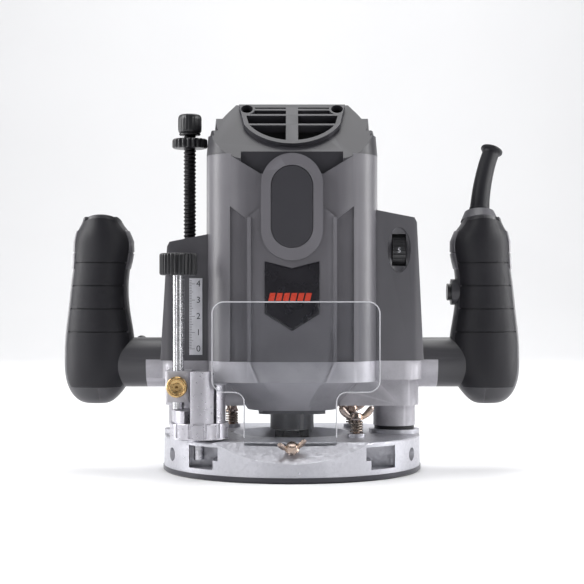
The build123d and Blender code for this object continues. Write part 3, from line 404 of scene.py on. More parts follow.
def worked_metal(name, colour, rough, stretch=(60.0, 60.0, 2400.0), second=None):
    """Machined or plated metal: fine tool marks stretched along one direction, uneven plating."""
    material, nodes, links = blank_material(name)
    marks_frame = nodes.new("NodeFrame")
    marks_frame.label = "tool marks"
    plating_frame = nodes.new("NodeFrame")
    plating_frame.label = "plating"
    place = nodes.new("ShaderNodeTexCoord")
    place.label = "place on the piece"
    place.location = (-1300, 0)
    lie = nodes.new("ShaderNodeMapping")
    lie.label = "direction of the marks"
    lie.location = (-1080, -220)
    lie.inputs["Scale"].default_value = stretch
    marks = nodes.new("ShaderNodeTexNoise")
    marks.label = "tool marks"
    marks.location = (-840, -220)
    marks.inputs["Scale"].default_value = 1.0
    marks.inputs["Detail"].default_value = 4.0
    bump = nodes.new("ShaderNodeBump")
    bump.label = "depth of the marks"
    bump.location = (-560, -320)
    bump.inputs["Strength"].default_value = 0.25
    bump.inputs["Distance"].default_value = 0.02 * MM
    gloss = nodes.new("ShaderNodeMapRange")
    gloss.label = "gloss along the marks"
    gloss.location = (-560, -80)
    gloss.inputs["To Min"].default_value = max(0.04, rough - 0.1)
    gloss.inputs["To Max"].default_value = rough + 0.12
    patches = nodes.new("ShaderNodeTexNoise")
    patches.label = "thick and thin plating"
    patches.location = (-840, 220)
    patches.inputs["Scale"].default_value = 160.0
    patches.inputs["Detail"].default_value = 3.0
    tint = nodes.new("ShaderNodeValToRGB")
    tint.label = "colours of the plating"
    tint.location = (-560, 220)
    low, high = tint.color_ramp.elements
    low.position, high.position = 0.35, 0.65
    low.color = shade(second, 1) if second else shade(colour, 0.72)
    high.color = shade(colour, 1)
    surface = nodes.new("ShaderNodeBsdfPrincipled")
    surface.label = "metal"
    surface.location = (-200, 100)
    surface.inputs["Metallic"].default_value = 1.0
    out = nodes.new("ShaderNodeOutputMaterial")
    out.location = (100, 100)
    for node in (lie, marks, bump, gloss):
        node.parent = marks_frame
    for node in (patches, tint):
        node.parent = plating_frame
    links.new(place.outputs["Object"], lie.inputs["Vector"])
    links.new(place.outputs["Object"], patches.inputs["Vector"])
    links.new(lie.outputs["Vector"], marks.inputs["Vector"])
    links.new(marks.outputs["Fac"], bump.inputs["Height"])
    links.new(marks.outputs["Fac"], gloss.inputs["Value"])
    links.new(patches.outputs["Fac"], tint.inputs["Fac"])
    links.new(tint.outputs["Color"], surface.inputs["Base Color"])
    links.new(gloss.outputs["Result"], surface.inputs["Roughness"])
    links.new(bump.outputs["Normal"], surface.inputs["Normal"])
    links.new(surface.outputs["BSDF"], out.inputs["Surface"])
    return material


def clear_sheet(name):
    """Clear polycarbonate: almost no colour, mirror gloss at a slant, fine scratches, a little dust haze."""
    material, nodes, links = blank_material(name)
    scratch_frame = nodes.new("NodeFrame")
    scratch_frame.label = "scratches"
    haze_frame = nodes.new("NodeFrame")
    haze_frame.label = "how clear the sheet is"
    place = nodes.new("ShaderNodeTexCoord")
    place.label = "place on the sheet"
    place.location = (-1100, 0)
    lie = nodes.new("ShaderNodeMapping")
    lie.label = "scratches lie across"
    lie.location = (-880, -160)
    lie.inputs["Scale"].default_value = (60.0, 60.0, 1600.0)
    scratches = nodes.new("ShaderNodeTexNoise")
    scratches.label = "wiping scratches"
    scratches.location = (-660, -160)
    scratches.inputs["Scale"].default_value = 1.0
    scratches.inputs["Detail"].default_value = 3.0
    gloss = nodes.new("ShaderNodeMapRange")
    gloss.label = "gloss along the scratches"
    gloss.location = (-440, -160)
    gloss.inputs["To Min"].default_value = 0.02
    gloss.inputs["To Max"].default_value = 0.12
    haze = nodes.new("ShaderNodeTexNoise")
    haze.label = "dust haze"
    haze.location = (-660, 160)
    haze.inputs["Scale"].default_value = 28.0
    haze.inputs["Detail"].default_value = 5.0
    cloud = nodes.new("ShaderNodeMapRange")
    cloud.label = "how far the haze clouds it"
    cloud.location = (-440, 160)
    cloud.inputs["From Min"].default_value = 0.3
    cloud.inputs["From Max"].default_value = 0.75
    cloud.inputs["To Max"].default_value = 0.035
    through = nodes.new("ShaderNodeBsdfTransparent")
    through.label = "straight through"
    through.location = (-200, 260)
    through.inputs["Color"].default_value = (0.955, 0.96, 0.965, 1)
    surface = nodes.new("ShaderNodeBsdfPrincipled")
    surface.label = "gloss of the sheet"
    surface.location = (-200, 60)
    surface.inputs["Base Color"].default_value = (0.78, 0.79, 0.81, 1)
    surface.inputs["Metallic"].default_value = 1.0
    edge_on = nodes.new("ShaderNodeLayerWeight")
    edge_on.label = "more mirror at a slant"
    edge_on.location = (-440, 420)
    edge_on.inputs["Blend"].default_value = 0.12
    more = nodes.new("ShaderNodeMath")
    more.label = "haze plus slant"
    more.location = (-200, 440)
    more.operation = "ADD"
    more.use_clamp = True
    mix = nodes.new("ShaderNodeMixShader")
    mix.label = "clear to glossy"
    mix.location = (60, 200)
    out = nodes.new("ShaderNodeOutputMaterial")
    out.location = (260, 200)
    for node in (lie, scratches, gloss):
        node.parent = scratch_frame
    for node in (haze, cloud, edge_on, more):
        node.parent = haze_frame
    links.new(place.outputs["Object"], lie.inputs["Vector"])
    links.new(place.outputs["Object"], haze.inputs["Vector"])
    links.new(lie.outputs["Vector"], scratches.inputs["Vector"])
    links.new(scratches.outputs["Fac"], gloss.inputs["Value"])
    links.new(haze.outputs["Fac"], cloud.inputs["Value"])
    links.new(gloss.outputs["Result"], surface.inputs["Roughness"])
    links.new(cloud.outputs["Result"], more.inputs[0])
    links.new(edge_on.outputs["Fresnel"], more.inputs[1])
    links.new(more.outputs["Value"], mix.inputs["Fac"])
    links.new(through.outputs["BSDF"], mix.inputs[1])
    links.new(surface.outputs["BSDF"], mix.inputs[2])
    links.new(mix.outputs["Shader"], out.inputs["Surface"])
    return material


def printed_foil(name, ground, rough):
    """Printed foil: a faded ground, the print's colour from the piece's ink attribute, light orange peel."""
    material, nodes, links = blank_material(name)
    print_frame = nodes.new("NodeFrame")
    print_frame.label = "ground and print"
    varnish_frame = nodes.new("NodeFrame")
    varnish_frame.label = "varnish"
    ink = nodes.new("ShaderNodeAttribute")
    ink.label = "ink of the print"
    ink.attribute_name = "ink"
    ink.location = (-900, 300)
    place = nodes.new("ShaderNodeTexCoord")
    place.label = "place on the foil"
    place.location = (-1100, 0)
    fade = nodes.new("ShaderNodeTexNoise")
    fade.label = "fading"
    fade.location = (-900, 60)
    fade.inputs["Scale"].default_value = 90.0
    fade.inputs["Detail"].default_value = 4.0
    tint = nodes.new("ShaderNodeValToRGB")
    tint.label = "ground of the foil"
    tint.location = (-680, 60)
    low, high = tint.color_ramp.elements
    low.position, high.position = 0.3, 0.7
    low.color = shade(ground, 0.85)
    high.color = shade(ground, 1.12)
    printed = nodes.new("ShaderNodeMix")
    printed.label = "print over the ground"
    printed.location = (-400, 200)
    printed.data_type = "RGBA"
    peel = nodes.new("ShaderNodeTexNoise")
    peel.label = "orange peel"
    peel.location = (-900, -240)
    peel.inputs["Scale"].default_value = 700.0
    peel.inputs["Detail"].default_value = 2.0
    relief = nodes.new("ShaderNodeBump")
    relief.label = "depth of the orange peel"
    relief.location = (-400, -240)
    relief.inputs["Strength"].default_value = 0.2
    relief.inputs["Distance"].default_value = 0.02 * MM
    gloss = nodes.new("ShaderNodeMapRange")
    gloss.label = "gloss of the varnish"
    gloss.location = (-680, -200)
    gloss.inputs["To Min"].default_value = rough - 0.06
    gloss.inputs["To Max"].default_value = rough + 0.10
    surface = nodes.new("ShaderNodeBsdfPrincipled")
    surface.label = "foil"
    surface.location = (-120, 60)
    surface.inputs["Specular IOR Level"].default_value = 0.4
    surface.inputs["Coat Weight"].default_value = 0.1
    surface.inputs["Coat Roughness"].default_value = 0.15
    out = nodes.new("ShaderNodeOutputMaterial")
    out.location = (180, 60)
    for node in (ink, fade, tint, printed):
        node.parent = print_frame
    for node in (peel, relief, gloss):
        node.parent = varnish_frame
    links.new(place.outputs["Object"], fade.inputs["Vector"])
    links.new(place.outputs["Object"], peel.inputs["Vector"])
    links.new(fade.outputs["Fac"], tint.inputs["Fac"])
    links.new(ink.outputs["Alpha"], printed.inputs["Factor"])
    links.new(tint.outputs["Color"], printed.inputs[6])
    links.new(ink.outputs["Color"], printed.inputs[7])
    links.new(printed.outputs[2], surface.inputs["Base Color"])
    links.new(peel.outputs["Fac"], relief.inputs["Height"])
    links.new(fade.outputs["Fac"], gloss.inputs["Value"])
    links.new(gloss.outputs["Result"], surface.inputs["Roughness"])
    links.new(relief.outputs["Normal"], surface.inputs["Normal"])
    links.new(surface.outputs["BSDF"], out.inputs["Surface"])
    return material


SAWN_EDGE = moulded_plastic("sawn_sheet_edge", (0.46, 0.46, 0.49), 0.24, grain=900, relief=0.02, drift=0.25)
CASE_SHELL = moulded_plastic("column_case_shell", (0.060, 0.058, 0.066), 0.37, grain=1400)
FINISH_OF_SLOT = {
    "grey_plastic": moulded_plastic("grey_shell", (0.120, 0.116, 0.129), 0.36, grain=1300),
    "side_grey_plastic": moulded_plastic("side_shell", (0.088, 0.086, 0.096), 0.38, grain=1400),
    "dark_grey_plastic": moulded_plastic("dark_shell", (0.033, 0.032, 0.038), 0.36, grain=1400, shine=0.4),
    "handle_plastic": moulded_plastic("handle_shell", (0.056, 0.055, 0.061), 0.38, shine=0.4),
    "grip_rubber": moulded_plastic("grip_pad_rubber", (0.012, 0.0115, 0.015), 0.50, grain=1900, relief=0.07,
                                   edge=0.2, sheen=0.05, shine=0.3),
    "black_rubber": moulded_plastic("soft_rubber", (0.012, 0.012, 0.015), 0.46, grain=1700, edge=0.2,
                                    sheen=0.05, shine=0.25),
    "black_plastic": moulded_plastic("black_moulding", (0.010, 0.010, 0.012), 0.34),
    "sole_plastic": moulded_plastic("sole_sheet", (0.016, 0.016, 0.024), 0.30, grain=700, relief=0.03),
    "board_green": moulded_plastic("circuit_board", (0.03, 0.16, 0.07), 0.35),
    "badge_black": printed_foil("black_foil", (0.012, 0.011, 0.015), 0.26),
    "scale_white": printed_foil("silver_foil", (0.55, 0.55, 0.59), 0.30),
    "base_aluminium": cast_metal("cast_base", (0.40, 0.40, 0.435), 0.46, speck=700, sparkle=0.5),
    "bracket_aluminium": cast_metal("cast_bracket", (0.44, 0.43, 0.465), 0.48, speck=800, metallic=0.4,
                                    sparkle=0.45),
    "dark_casting": cast_metal("cast_nose", (0.085, 0.085, 0.095), 0.42, speck=1300, relief=0.05, metallic=0.5),
    "turret_zinc": cast_metal("cast_turret", (0.47, 0.46, 0.50), 0.36, speck=1300, relief=0.05),
    "ground_steel": worked_metal("ground_column", (0.60, 0.60, 0.62), 0.20),
    "bright_steel": worked_metal("bright_bar", (0.58, 0.58, 0.60), 0.24),
    "black_steel": worked_metal("blackened_steel", (0.035, 0.034, 0.036), 0.32),
    "spring_steel": worked_metal("spring_wire", (0.36, 0.31, 0.27), 0.28, stretch=(900, 900, 900)),
    "zinc_steel": worked_metal("zinc_plate", (0.52, 0.52, 0.55), 0.28, stretch=(500, 500, 500)),
    "yellow_zinc": worked_metal("yellow_plate", (0.50, 0.38, 0.30), 0.26, stretch=(500, 500, 500),
                                second=(0.30, 0.26, 0.25)),
    "brass": worked_metal("turned_brass", (0.62, 0.43, 0.20), 0.26, stretch=(600, 600, 600),
                          second=(0.42, 0.28, 0.13)),
    "copper": worked_metal("copper_winding", (0.66, 0.32, 0.18), 0.25),
    "core_steel": worked_metal("core_sheets", (0.22, 0.22, 0.23), 0.40),
    "clear_plastic": clear_sheet("clear_guard"),
}
# Pieces whose finish differs from the rest of their slot.
FINISH_OF_NODE = {"case_screws": FINISH_OF_SLOT["black_steel"], "cap_screws": FINISH_OF_SLOT["black_steel"],
                  "left_column_case": CASE_SHELL}


# ---- rounded edges of the pieces that keep their CAD shape ----
EDGE_ROUND = {
    "motor_housing": 0.9, "top_cap": 0.8, "motor_bracket": 0.9, "base_casting": 0.9, "left_column_case": 1.2,
    "electronics_case_front": 0.9, "electronics_case_rear": 0.9, "lock_lever": 1.2, "trigger": 1.2,
    "chip_shield": 0.4, "bearing_nose": 0.7, "turret_stop": 0.4, "brush_covers": 0.5, "front_badge": 0.15,
    "rating_plate": 0.15, "depth_scale": 0.15, "right_grip_pad": 0.5, "left_grip_pad": 0.5}
SMOOTH_BELOW = math.radians(32)     # edges that turn by more stay sharp
ROUND_ABOVE = math.radians(33)      # edges that turn by more are rounded
FLAT_WITHIN = math.radians(1.0)     # triangles this near to one plane are one face
SAME_POINT = 0.002 * MM


def smooth_by_angle():
    """Node group that shades faces smooth and keeps edges sharp where they turn by more than a set angle."""
    group = bpy.data.node_groups.new("smooth_by_angle", "GeometryNodeTree")
    group.interface.new_socket("Geometry", in_out="INPUT", socket_type="NodeSocketGeometry")
    group.interface.new_socket("Geometry", in_out="OUTPUT", socket_type="NodeSocketGeometry")
    nodes, links = group.nodes, group.links
    start = nodes.new("NodeGroupInput")
    start.label = "piece"
    start.location = (-600, 100)
    turn = nodes.new("GeometryNodeInputMeshEdgeAngle")
    turn.label = "how far each edge turns"
    turn.location = (-600, -140)
    small = nodes.new("FunctionNodeCompare")
    small.label = "soft edges"
    small.location = (-380, -140)
    small.operation = "LESS_THAN"
    small.inputs["B"].default_value = SMOOTH_BELOW
    faces = nodes.new("GeometryNodeSetShadeSmooth")
    faces.label = "all faces smooth"
    faces.location = (-380, 100)
    faces.domain = "FACE"
    edges = nodes.new("GeometryNodeSetShadeSmooth")
    edges.label = "sharp edges stay"
    edges.location = (-140, 60)
    edges.domain = "EDGE"
    end = nodes.new("NodeGroupOutput")
    end.label = "shaded piece"
    end.location = (80, 60)
    links.new(start.outputs[0], faces.inputs[0])
    links.new(faces.outputs[0], edges.inputs[0])
    links.new(turn.outputs["Unsigned Angle"], small.inputs["A"])
    links.new(small.outputs[0], edges.inputs["Shade Smooth"])
    links.new(edges.outputs[0], end.inputs[0])
    return group


SMOOTH_GROUP = smooth_by_angle()


def finish_cad_node(name, piece, material):
    """Gives a CAD piece its material, welds its triangles and rounds its edges."""
    piece.data.materials.clear()
    piece.data.materials.append(material)
    piece.modifiers.new("weld", "WELD").merge_threshold = SAME_POINT
    flat = piece.modifiers.new("flat faces", "DECIMATE")
    flat.decimate_type = "DISSOLVE"
    flat.angle_limit = FLAT_WITHIN
    if name in EDGE_ROUND:
        bevel = piece.modifiers.new("rounded edges", "BEVEL")
        bevel.width = EDGE_ROUND[name] * MM
        bevel.segments = 2
        bevel.limit_method = "ANGLE"
        bevel.angle_limit = ROUND_ABOVE
        bevel.use_clamp_overlap = True
    piece.modifiers.new("smooth shading", "NODES").node_group = SMOOTH_GROUP
    piece.modifiers.new("flat faces stay flat", "WEIGHTED_NORMAL").keep_sharp = True


SLOT_OF = {entry["node"]: entry["material_slot"] for entry in frame["record"]["subparts"]}
for node_name, node_piece in frame["nodes"].items():
    finish = FINISH_OF_NODE.get(node_name) or FINISH_OF_SLOT[SLOT_OF[node_name]]
    finish_cad_node(node_name, node_piece, finish)


# ---- pieces with finer shape than the CAD nodes they stand for ----
WHITE_INK, RED_INK, BLACK_INK = (0.72, 0.72, 0.74, 1), (0.56, 0.055, 0.03, 1), (0.02, 0.02, 0.025, 1)
BARE = (0, 0, 0, 0)                 # no ink: the ground of the foil shows
INK_THICK = 0.04
BADGE_FACE, PLATE_FACE, SCALE_FACE = -51.55, 51.55, -31.5
DEPTH_AXIS = (-68.5, -50.0, 0.0)    # the depth rod stands here
DEPTH_LOCK = (-68.5, 0.0, 55.5)     # the thumb screw points forward from here
COLUMN_AXIS = (-65.0, 0.0, 0.0)     # the height rod stands inside the left column
LEVER_HUB = (-65.0, 0.0, 54.2)
LEVER_HEADING = math.radians(142.0)
WING_REACH = 11.8                   # a fence bolt's wings reach this far out from its axis


def printed_piece(name, ground, prints, body, slot, *stands_for):
    """Foil with its print: the ground and each (shape, ink) in one mesh, the ink stored per vertex."""
    shapes = [ground] + [shape for shape, _ in prints]
    inks = [BARE] + [ink for _, ink in prints]
    piece = make_piece(name, joined(shapes), body, slot, stands_for)
    colours = np.vstack([np.tile(ink, (len(shape[0]), 1)) for shape, ink in zip(shapes, inks)])
    layer = piece.data.attributes.new("ink", "FLOAT_COLOR", "POINT")
    layer.data.foreach_set("color", colours.astype(np.float32).ravel())


def bar(x0, x1, z0, z1, y, facing, lean=0.0):
    """Thin printed bar, its upper edge shifted sideways by lean."""
    return prism([(x0, z0), (x1, z0), (x1 + lean, z1), (x0 + lean, z1)], y, y + INK_THICK * facing)


def front_badge():
    """Arrow-shaped badge: four copies of its outline, each nearer the centre, make the bevelled rim."""
    outline = np.array([(-16.5, 130.5), (0, 126.3), (16.5, 130.5), (16.5, 98.7), (0, 88.4), (-16.5, 98.7)])
    centre = np.array([0.0, 111.0])
    rim = centre + (outline - centre) * 0.935
    field = centre + (rim - centre) * 0.98
    shape = layered([(outline, -51.03), (outline, -51.45), (rim, -51.8), (field, BADGE_FACE)])
    marks = [bar(x, x + 3.4, 106.6, 111.4, BADGE_FACE, -1, lean=1.1) for x in np.arange(-14.3, 11, 4.35)]
    prints = [(mark, RED_INK) for mark in marks]
    printed_piece("front_badge_foil", shape, prints, "motor_unit", "badge_black", "front_badge")


def small_print(rng):
    """Lines of small print: word-long bars of random length along each (height, thickness, start, stop)."""
    lines = [(118.6, 1.6, 14.5, -14.0), (113.2, 1.1, 14.5, -1.5), (109.4, 1.1, 14.5, 4.0),
             (105.4, 1.1, 14.5, -13.0), (86.6, 0.7, 14.5, -2.0), (84.4, 0.7, 14.5, -12.5),
             (82.2, 0.7, 14.5, -2.5), (80.2, 0.7, 14.5, 3.5)]
    words, space = [], 0.7
    for z, tall, x, stop in lines:
        while x > stop:
            word = rng.uniform(1.2, 3.4)
            words.append(bar(max(x - word, stop), x, z - tall / 2, z + tall / 2, PLATE_FACE, 1))
            x -= word + space
    return words


def rating_plate():
    """Rating plate: red heading bars, lines of small print, four square marks and a white field."""
    heading = [bar(x, x - 3.6, 121.4, 126.4, PLATE_FACE, 1, lean=-0.9) for x in np.arange(13.6, -12, -4.5)]
    white = small_print(np.random.default_rng(7))
    for x in (12.2, 4.8, -2.6, -10.2):
        sides = [(x - 2.6, x + 2.6, 96.6, 97.1), (x - 2.6, x + 2.6, 101.5, 102.0),
                 (x - 2.6, x - 2.1, 97.1, 101.5), (x + 2.1, x + 2.6, 97.1, 101.5),
                 (x - 1.0, x + 1.0, 98.4, 100.2)]
        white += [bar(*edges, PLATE_FACE, 1) for edges in sides]
    white += [bar(-13.0, 8.4, 90.2, 92.8, PLATE_FACE, 1), bar(9.2, 14.5, 91.0, 92.0, PLATE_FACE, 1)]
    prints = [(shape, RED_INK) for shape in heading] + [(shape, WHITE_INK) for shape in white]
    ground = prism([(-17, 76.4), (17, 76.4), (17, 129.8), (-17, 129.8)], 51.05, PLATE_FACE)
    printed_piece("rating_plate_foil", ground, prints, "motor_unit", "badge_black", "rating_plate")


def depth_scale():
    """Scale strip: a line every millimetre, longer ones at the fives and tens, and the figures 0 to 4."""
    left, zero = -63.0, 77.0
    prints = []
    for n in range(43):
        z = zero + n
        reach = 3.2 if n % 10 == 0 else 2.2 if n % 5 == 0 else 1.3
        prints.append((bar(left, left + reach, z - 0.12, z + 0.12, SCALE_FACE, -1), BLACK_INK))
    for n in range(5):
        prints.append((lettering(str(n), 5.4, (-57.6, zero + 10 * n), SCALE_FACE - 0.02), BLACK_INK))
    ground = prism([(-63.2, 73.3), (-55.2, 73.3), (-55.2, 120.5), (-63.2, 120.5)], -31.05, SCALE_FACE)
    printed_piece("depth_scale_strip", ground, prints, "motor_unit", "scale_white", "depth_scale")


def knobs():
    """Ribbed knob of the depth rod, rounded knob of the height rod and the ribbed limit nut."""
    depth = [(3.9, 122.05), (9.9, 122.05), (10.9, 122.3), (11.4, 123.0), (11.5, 123.8), (11.5, 133.8),
             (11.4, 134.5), (10.9, 135.1), (10.0, 135.4), (8.8, 135.45), (8.3, 135.0), (7.9, 134.8), (0.6, 134.8)]
    shape = skin(placed(turned(depth, 192, ribs(30, 0.75, 122.8, 134.7)), DEPTH_AXIS))
    make_piece("depth_knob_ribbed", shape, "depth_stop", "black_plastic", ["depth_knob"])
    height = [(4.05, 211.55), (6.4, 211.55), (6.8, 211.9), (6.8, 212.6), (6.3, 213.0), (6.9, 213.4), (7.35, 214.2),
              (7.5, 215.4), (7.5, 221.6), (7.3, 223.2), (6.7, 224.3), (5.6, 224.9), (4.4, 225.0), (3.6, 224.6),
              (0.6, 224.5)]
    shape = skin(placed(turned(height, 120, ribs(24, 0.28, 215.0, 222.6)), COLUMN_AXIS))
    make_piece("height_knob_rounded", shape, "height_stop", "black_plastic", ["height_knob"])
    nut = [(4.6, 203.05), (9.2, 203.05), (10.4, 203.3), (11.1, 203.9), (11.2, 204.6), (11.2, 207.9), (11.1, 208.6),
           (10.4, 209.2), (9.2, 209.45), (7.4, 209.45), (6.9, 209.0), (4.6, 209.0)]
    shape = skin(placed(turned(nut, 160, ribs(20, 1.0, 203.5, 209.0)), COLUMN_AXIS))
    make_piece("limit_nut_ribbed", shape, "limit_nut", "black_plastic", ["limit_nut"])


def height_rod():
    """Height rod: plain below the roof of its case, a rolled thread above."""
    low, high, pitch = 140.0, 212.5, 2.4
    heights = np.concatenate([[6.2, 20.0, 80.0], np.arange(low, high, pitch / 12), [high]])
    radii = np.full(len(heights), 3.95)
    grid = turned(np.column_stack([radii, heights]), 40, thread(pitch, 0.62, low + 1, high - 0.5))
    shape = skin(placed(grid, COLUMN_AXIS))
    make_piece("height_rod_threaded", shape, "height_stop", "black_steel", ["height_rod"])


def thumb_screw():
    """Brass thumb screw: knurled head with a rolled rim, dished face and turned centre."""
    profile = [(2.45, 53.6), (2.45, 58.4), (5.3, 58.4), (6.0, 58.7), (6.3, 59.3), (6.3, 63.5), (6.2, 64.1),
               (5.8, 64.5), (5.2, 64.6), (4.8, 64.4), (4.5, 63.9), (4.2, 63.6), (2.7, 63.5), (2.5, 63.8),
               (2.2, 64.0), (0.9, 64.0), (0.7, 63.7), (0.2, 63.6)]
    grid = turned(profile, 216, ribs(36, 0.42, 58.9, 63.9))
    shape = skin(placed(grid, DEPTH_LOCK, toward=(0, -1, 0)))
    make_piece("depth_lock_knurled", shape, "depth_lock", "brass", ["depth_lock_screw"])


def wing_bolt(name, body, node, at, toward, spin, tip, collar, reach):
    """Wing bolt: threaded shank, flanged collar and two cast wings that curve up and out to the given reach."""
    share = reach / WING_REACH
    profile = [(2.45, z) for z in np.arange(tip, collar - 0.3, 0.1)] + [
        (3.0, collar), (4.1, collar), (4.3, collar + 0.3), (4.3, collar + 1.0), (3.9, collar + 1.4),
        (3.5, collar + 2.4), (3.3, collar + 3.5), (2.9, collar + 4.1), (2.0, collar + 4.4), (0.3, collar + 4.5)]
    core = turned(profile, 48, thread(0.8, 0.3, tip + 0.3, collar - 0.4))
    line = [(1.6, 0, 1.7), (4.6, 0, 2.3), (7.6, 0, 4.7), (10.2, 0, 8.4)]
    count = 28
    path = curve_through([(x * share, y, collar + z * share) for x, y, z in line], count)
    ends = round_ends(count, 0.02, 0.14)
    wide = curve_through([1.9, 1.7, 2.1, 1.7], count) * ends * share
    thick = curve_through([1.5, 1.15, 1.05, 1.0], count) * ends
    wing = swept(path, wide, thick, (0, 1, 0))
    other = wing * [-1, 1, 1]
    shape = joined([skin(placed(grid, at, toward, spin)) for grid in (core, wing, other)])
    make_piece(name, shape, body, "yellow_zinc", [node])


def wing_bolts():
    """The three fence-rod bolts and the shield's smaller bolt, which stands square to the front slope."""
    turns = {"front_right": 8.0, "rear_right": 20.0, "rear_left": 75.0}
    for place, spin in turns.items():
        node = "wing_bolt_" + place
        low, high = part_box(node)
        centre = (low + high) / 2 / MM
        wing_bolt(node + "_cast", "fence_bolt_" + place, node, (centre.x, centre.y, 0), (0, 0, 1), spin,
                  17.0, 33.4, WING_REACH)
    lean = math.atan2(11.5, 15.0)
    foot = (0, -73.0, 23.0 - 7.0 * math.tan(lean))
    wing_bolt("shield_wing_bolt_cast", "shield_bolt", "shield_wing_bolt", foot,
              (0, -math.sin(lean), math.cos(lean)), 12.0, -7.0, 2.2, 9.4)


def plunge_lever():
    """Plunge lever: hub with a sunk screw and a tapering arm with two collar lines near its tip."""
    count = 90
    s = np.linspace(0, 1, count)
    run = curve_through([(2.0, 2.4), (11.5, 5.2), (28.0, 3.0), (46.4, 0.4)], count)
    x = LEVER_HUB[0] + run[:, 0] * math.cos(LEVER_HEADING) - run[:, 1] * math.sin(LEVER_HEADING)
    z = LEVER_HUB[2] + run[:, 0] * math.sin(LEVER_HEADING) + run[:, 1] * math.cos(LEVER_HEADING)
    y = curve_through([35.6, 35.9, 36.2, 36.2], count)
    lines = 1 - 0.10 * np.exp(-((s - 0.76) / 0.012) ** 2) - 0.10 * np.exp(-((s - 0.86) / 0.012) ** 2)
    ends = round_ends(count, 0.01, 0.07) * lines
    wide = curve_through([5.6, 4.8, 3.9, 3.6], count) * ends
    thick = curve_through([4.0, 3.9, 3.7, 3.5], count) * ends
    arm = swept(np.column_stack([x, y, z]), wide, thick, (0, 1, 0), 32, 2.8)
    hub = [(2.9, 10.6), (2.9, 31.45), (8.0, 31.5), (8.6, 31.8), (8.8, 32.4), (8.8, 39.2), (8.6, 39.8), (8.0, 40.2),
           (7.2, 40.3), (5.4, 40.3), (5.0, 40.0), (4.8, 38.4), (4.2, 38.2), (4.2, 39.0), (3.8, 39.4), (2.1, 39.4),
           (1.9, 39.1), (1.9, 38.0), (0.3, 38.0)]
    hub_grid = placed(turned(hub, 72), LEVER_HUB, toward=(0, 1, 0))
    shape = joined([skin(arm), skin(hub_grid)])
    make_piece("lock_lever_moulded", shape, "plunge_lever", "black_plastic", ["lock_lever"])


def cord_sleeve():
    """Bend protector: a tapering tube with two foot rings and a flared mouth, open to the cord's bore."""
    count, bored = 120, 40
    path = curve_through([(119.5, 1.0, 149), (119.6, 2.9, 162), (121.4, 6.2, 177), (125.0, 11.0, 192),
                          (129.3, 15.3, 204.0)], count)
    s = np.linspace(0, 1, count)
    radii = np.interp(s, [0, 0.2, 0.45, 0.75, 0.93, 0.955, 0.97, 0.985, 1.0],
                      [6.4, 6.5, 5.9, 5.5, 5.4, 5.9, 6.8, 7.2, 7.0])
    radii += 0.35 * np.exp(-((s - 0.245) / 0.012) ** 2) + 0.35 * np.exp(-((s - 0.30) / 0.012) ** 2)
    bore = np.interp(s, [0, 0.9, 0.985, 1.0], [3.9, 4.0, 4.6, 5.6])
    shape = skin(np.concatenate([tube(path, radii, 48), tube(path, bore, 48)[::-1][:bored]]))
    make_piece("cord_sleeve_flared", shape, "motor_unit", "black_rubber", ["cord_sleeve"])


def dial_figure():
    """Figure printed on the rim of the speed dial."""
    shape = lettering("5", 4.4, (66.0, 137.6), SCALE_FACE)
    printed_piece("speed_dial_figure", shape, [], "speed_dial", "scale_white")


def arc(x, z, r, start, stop):
    """Points on a circle in X and Z from one angle to another, in degrees."""
    a = np.radians(np.linspace(start, stop, 12))
    return np.stack([x + r * np.cos(a), z + r * np.sin(a)], -1)


def shield_edge():
    """Sawn edge of the clear guard: a bead round its outline of straight runs and quarter circles, bowed in Y."""
    outline = np.vstack([
        np.linspace((-28.3, 26.0), (-28.3, 46.0), 10), arc(-34.3, 46.7, 6, 0, 90), arc(-40.25, 59.7, 7, -90, -180),
        np.linspace((-47.25, 62.0), (-47.25, 97.0), 12), arc(-40.25, 99.1, 7, 180, 90),
        np.linspace((-38.0, 106.1), (43.0, 106.1), 24), arc(45.05, 99.1, 7, 90, 0),
        np.linspace((52.05, 97.0), (52.05, 62.0), 12), arc(45.05, 59.7, 7, 0, -90),
        arc(32.3, 46.7, 6, 90, 180), np.linspace((26.3, 46.0), (26.3, 26.0), 10)])
    bow = 600.0
    x, z = outline[:, 0], outline[:, 1]
    y = -68.0 + x ** 2 / (2 * bow)
    count = len(x)
    bead = swept(np.column_stack([x, y, z]), np.full(count, 0.42), np.full(count, 1.12), (0, 1, 0), 12, 3.0)
    make_piece("chip_shield_edge", skin(bead), "base", "clear_plastic", finish=SAWN_EDGE)


# Height, inner X, outer X and half depth of a grip's shell.
GRIP = [(100.0, 103.0, 142.2, 18.5), (120.0, 103.8, 140.0, 18.0), (128.0, 102.8, 139.0, 18.0),
        (133.0, 101.5, 138.7, 18.1), (137.0, 101.0, 138.6, 18.2), (141.0, 100.8, 138.5, 18.2),
        (145.0, 101.2, 138.1, 18.0), (149.0, 102.8, 137.1, 17.5), (153.0, 105.4, 135.1, 16.6)]


def grip_band(low, high, side):
    """Band round the rear of a grip: ellipse sections from the grip's sizes, a flat strip with rounded edges."""
    sunk, proud = -1.0, 0.55
    sizes = curve_through(GRIP, 300)
    strip = np.array([(sunk, low), (0.0, low), (proud - 0.15, low + 0.2), (proud, low + 0.7),
                      (proud, (low + high) / 2), (proud, high - 0.7), (proud - 0.15, high - 0.2), (0.0, high),
                      (sunk, high)])
    inner, outer, half = (np.interp(strip[:, 1], sizes[:, 0], sizes[:, k]) for k in (1, 2, 3))
    a = np.linspace(-0.46, np.pi + 0.46, 72)[:, None]
    x = (inner + outer) / 2 + ((outer - inner) / 2 + strip[:, 0]) * np.cos(a)
    y = (half + strip[:, 0]) * np.sin(a)
    return skin(np.stack([side * x, y, np.broadcast_to(strip[:, 1], x.shape)], -1))


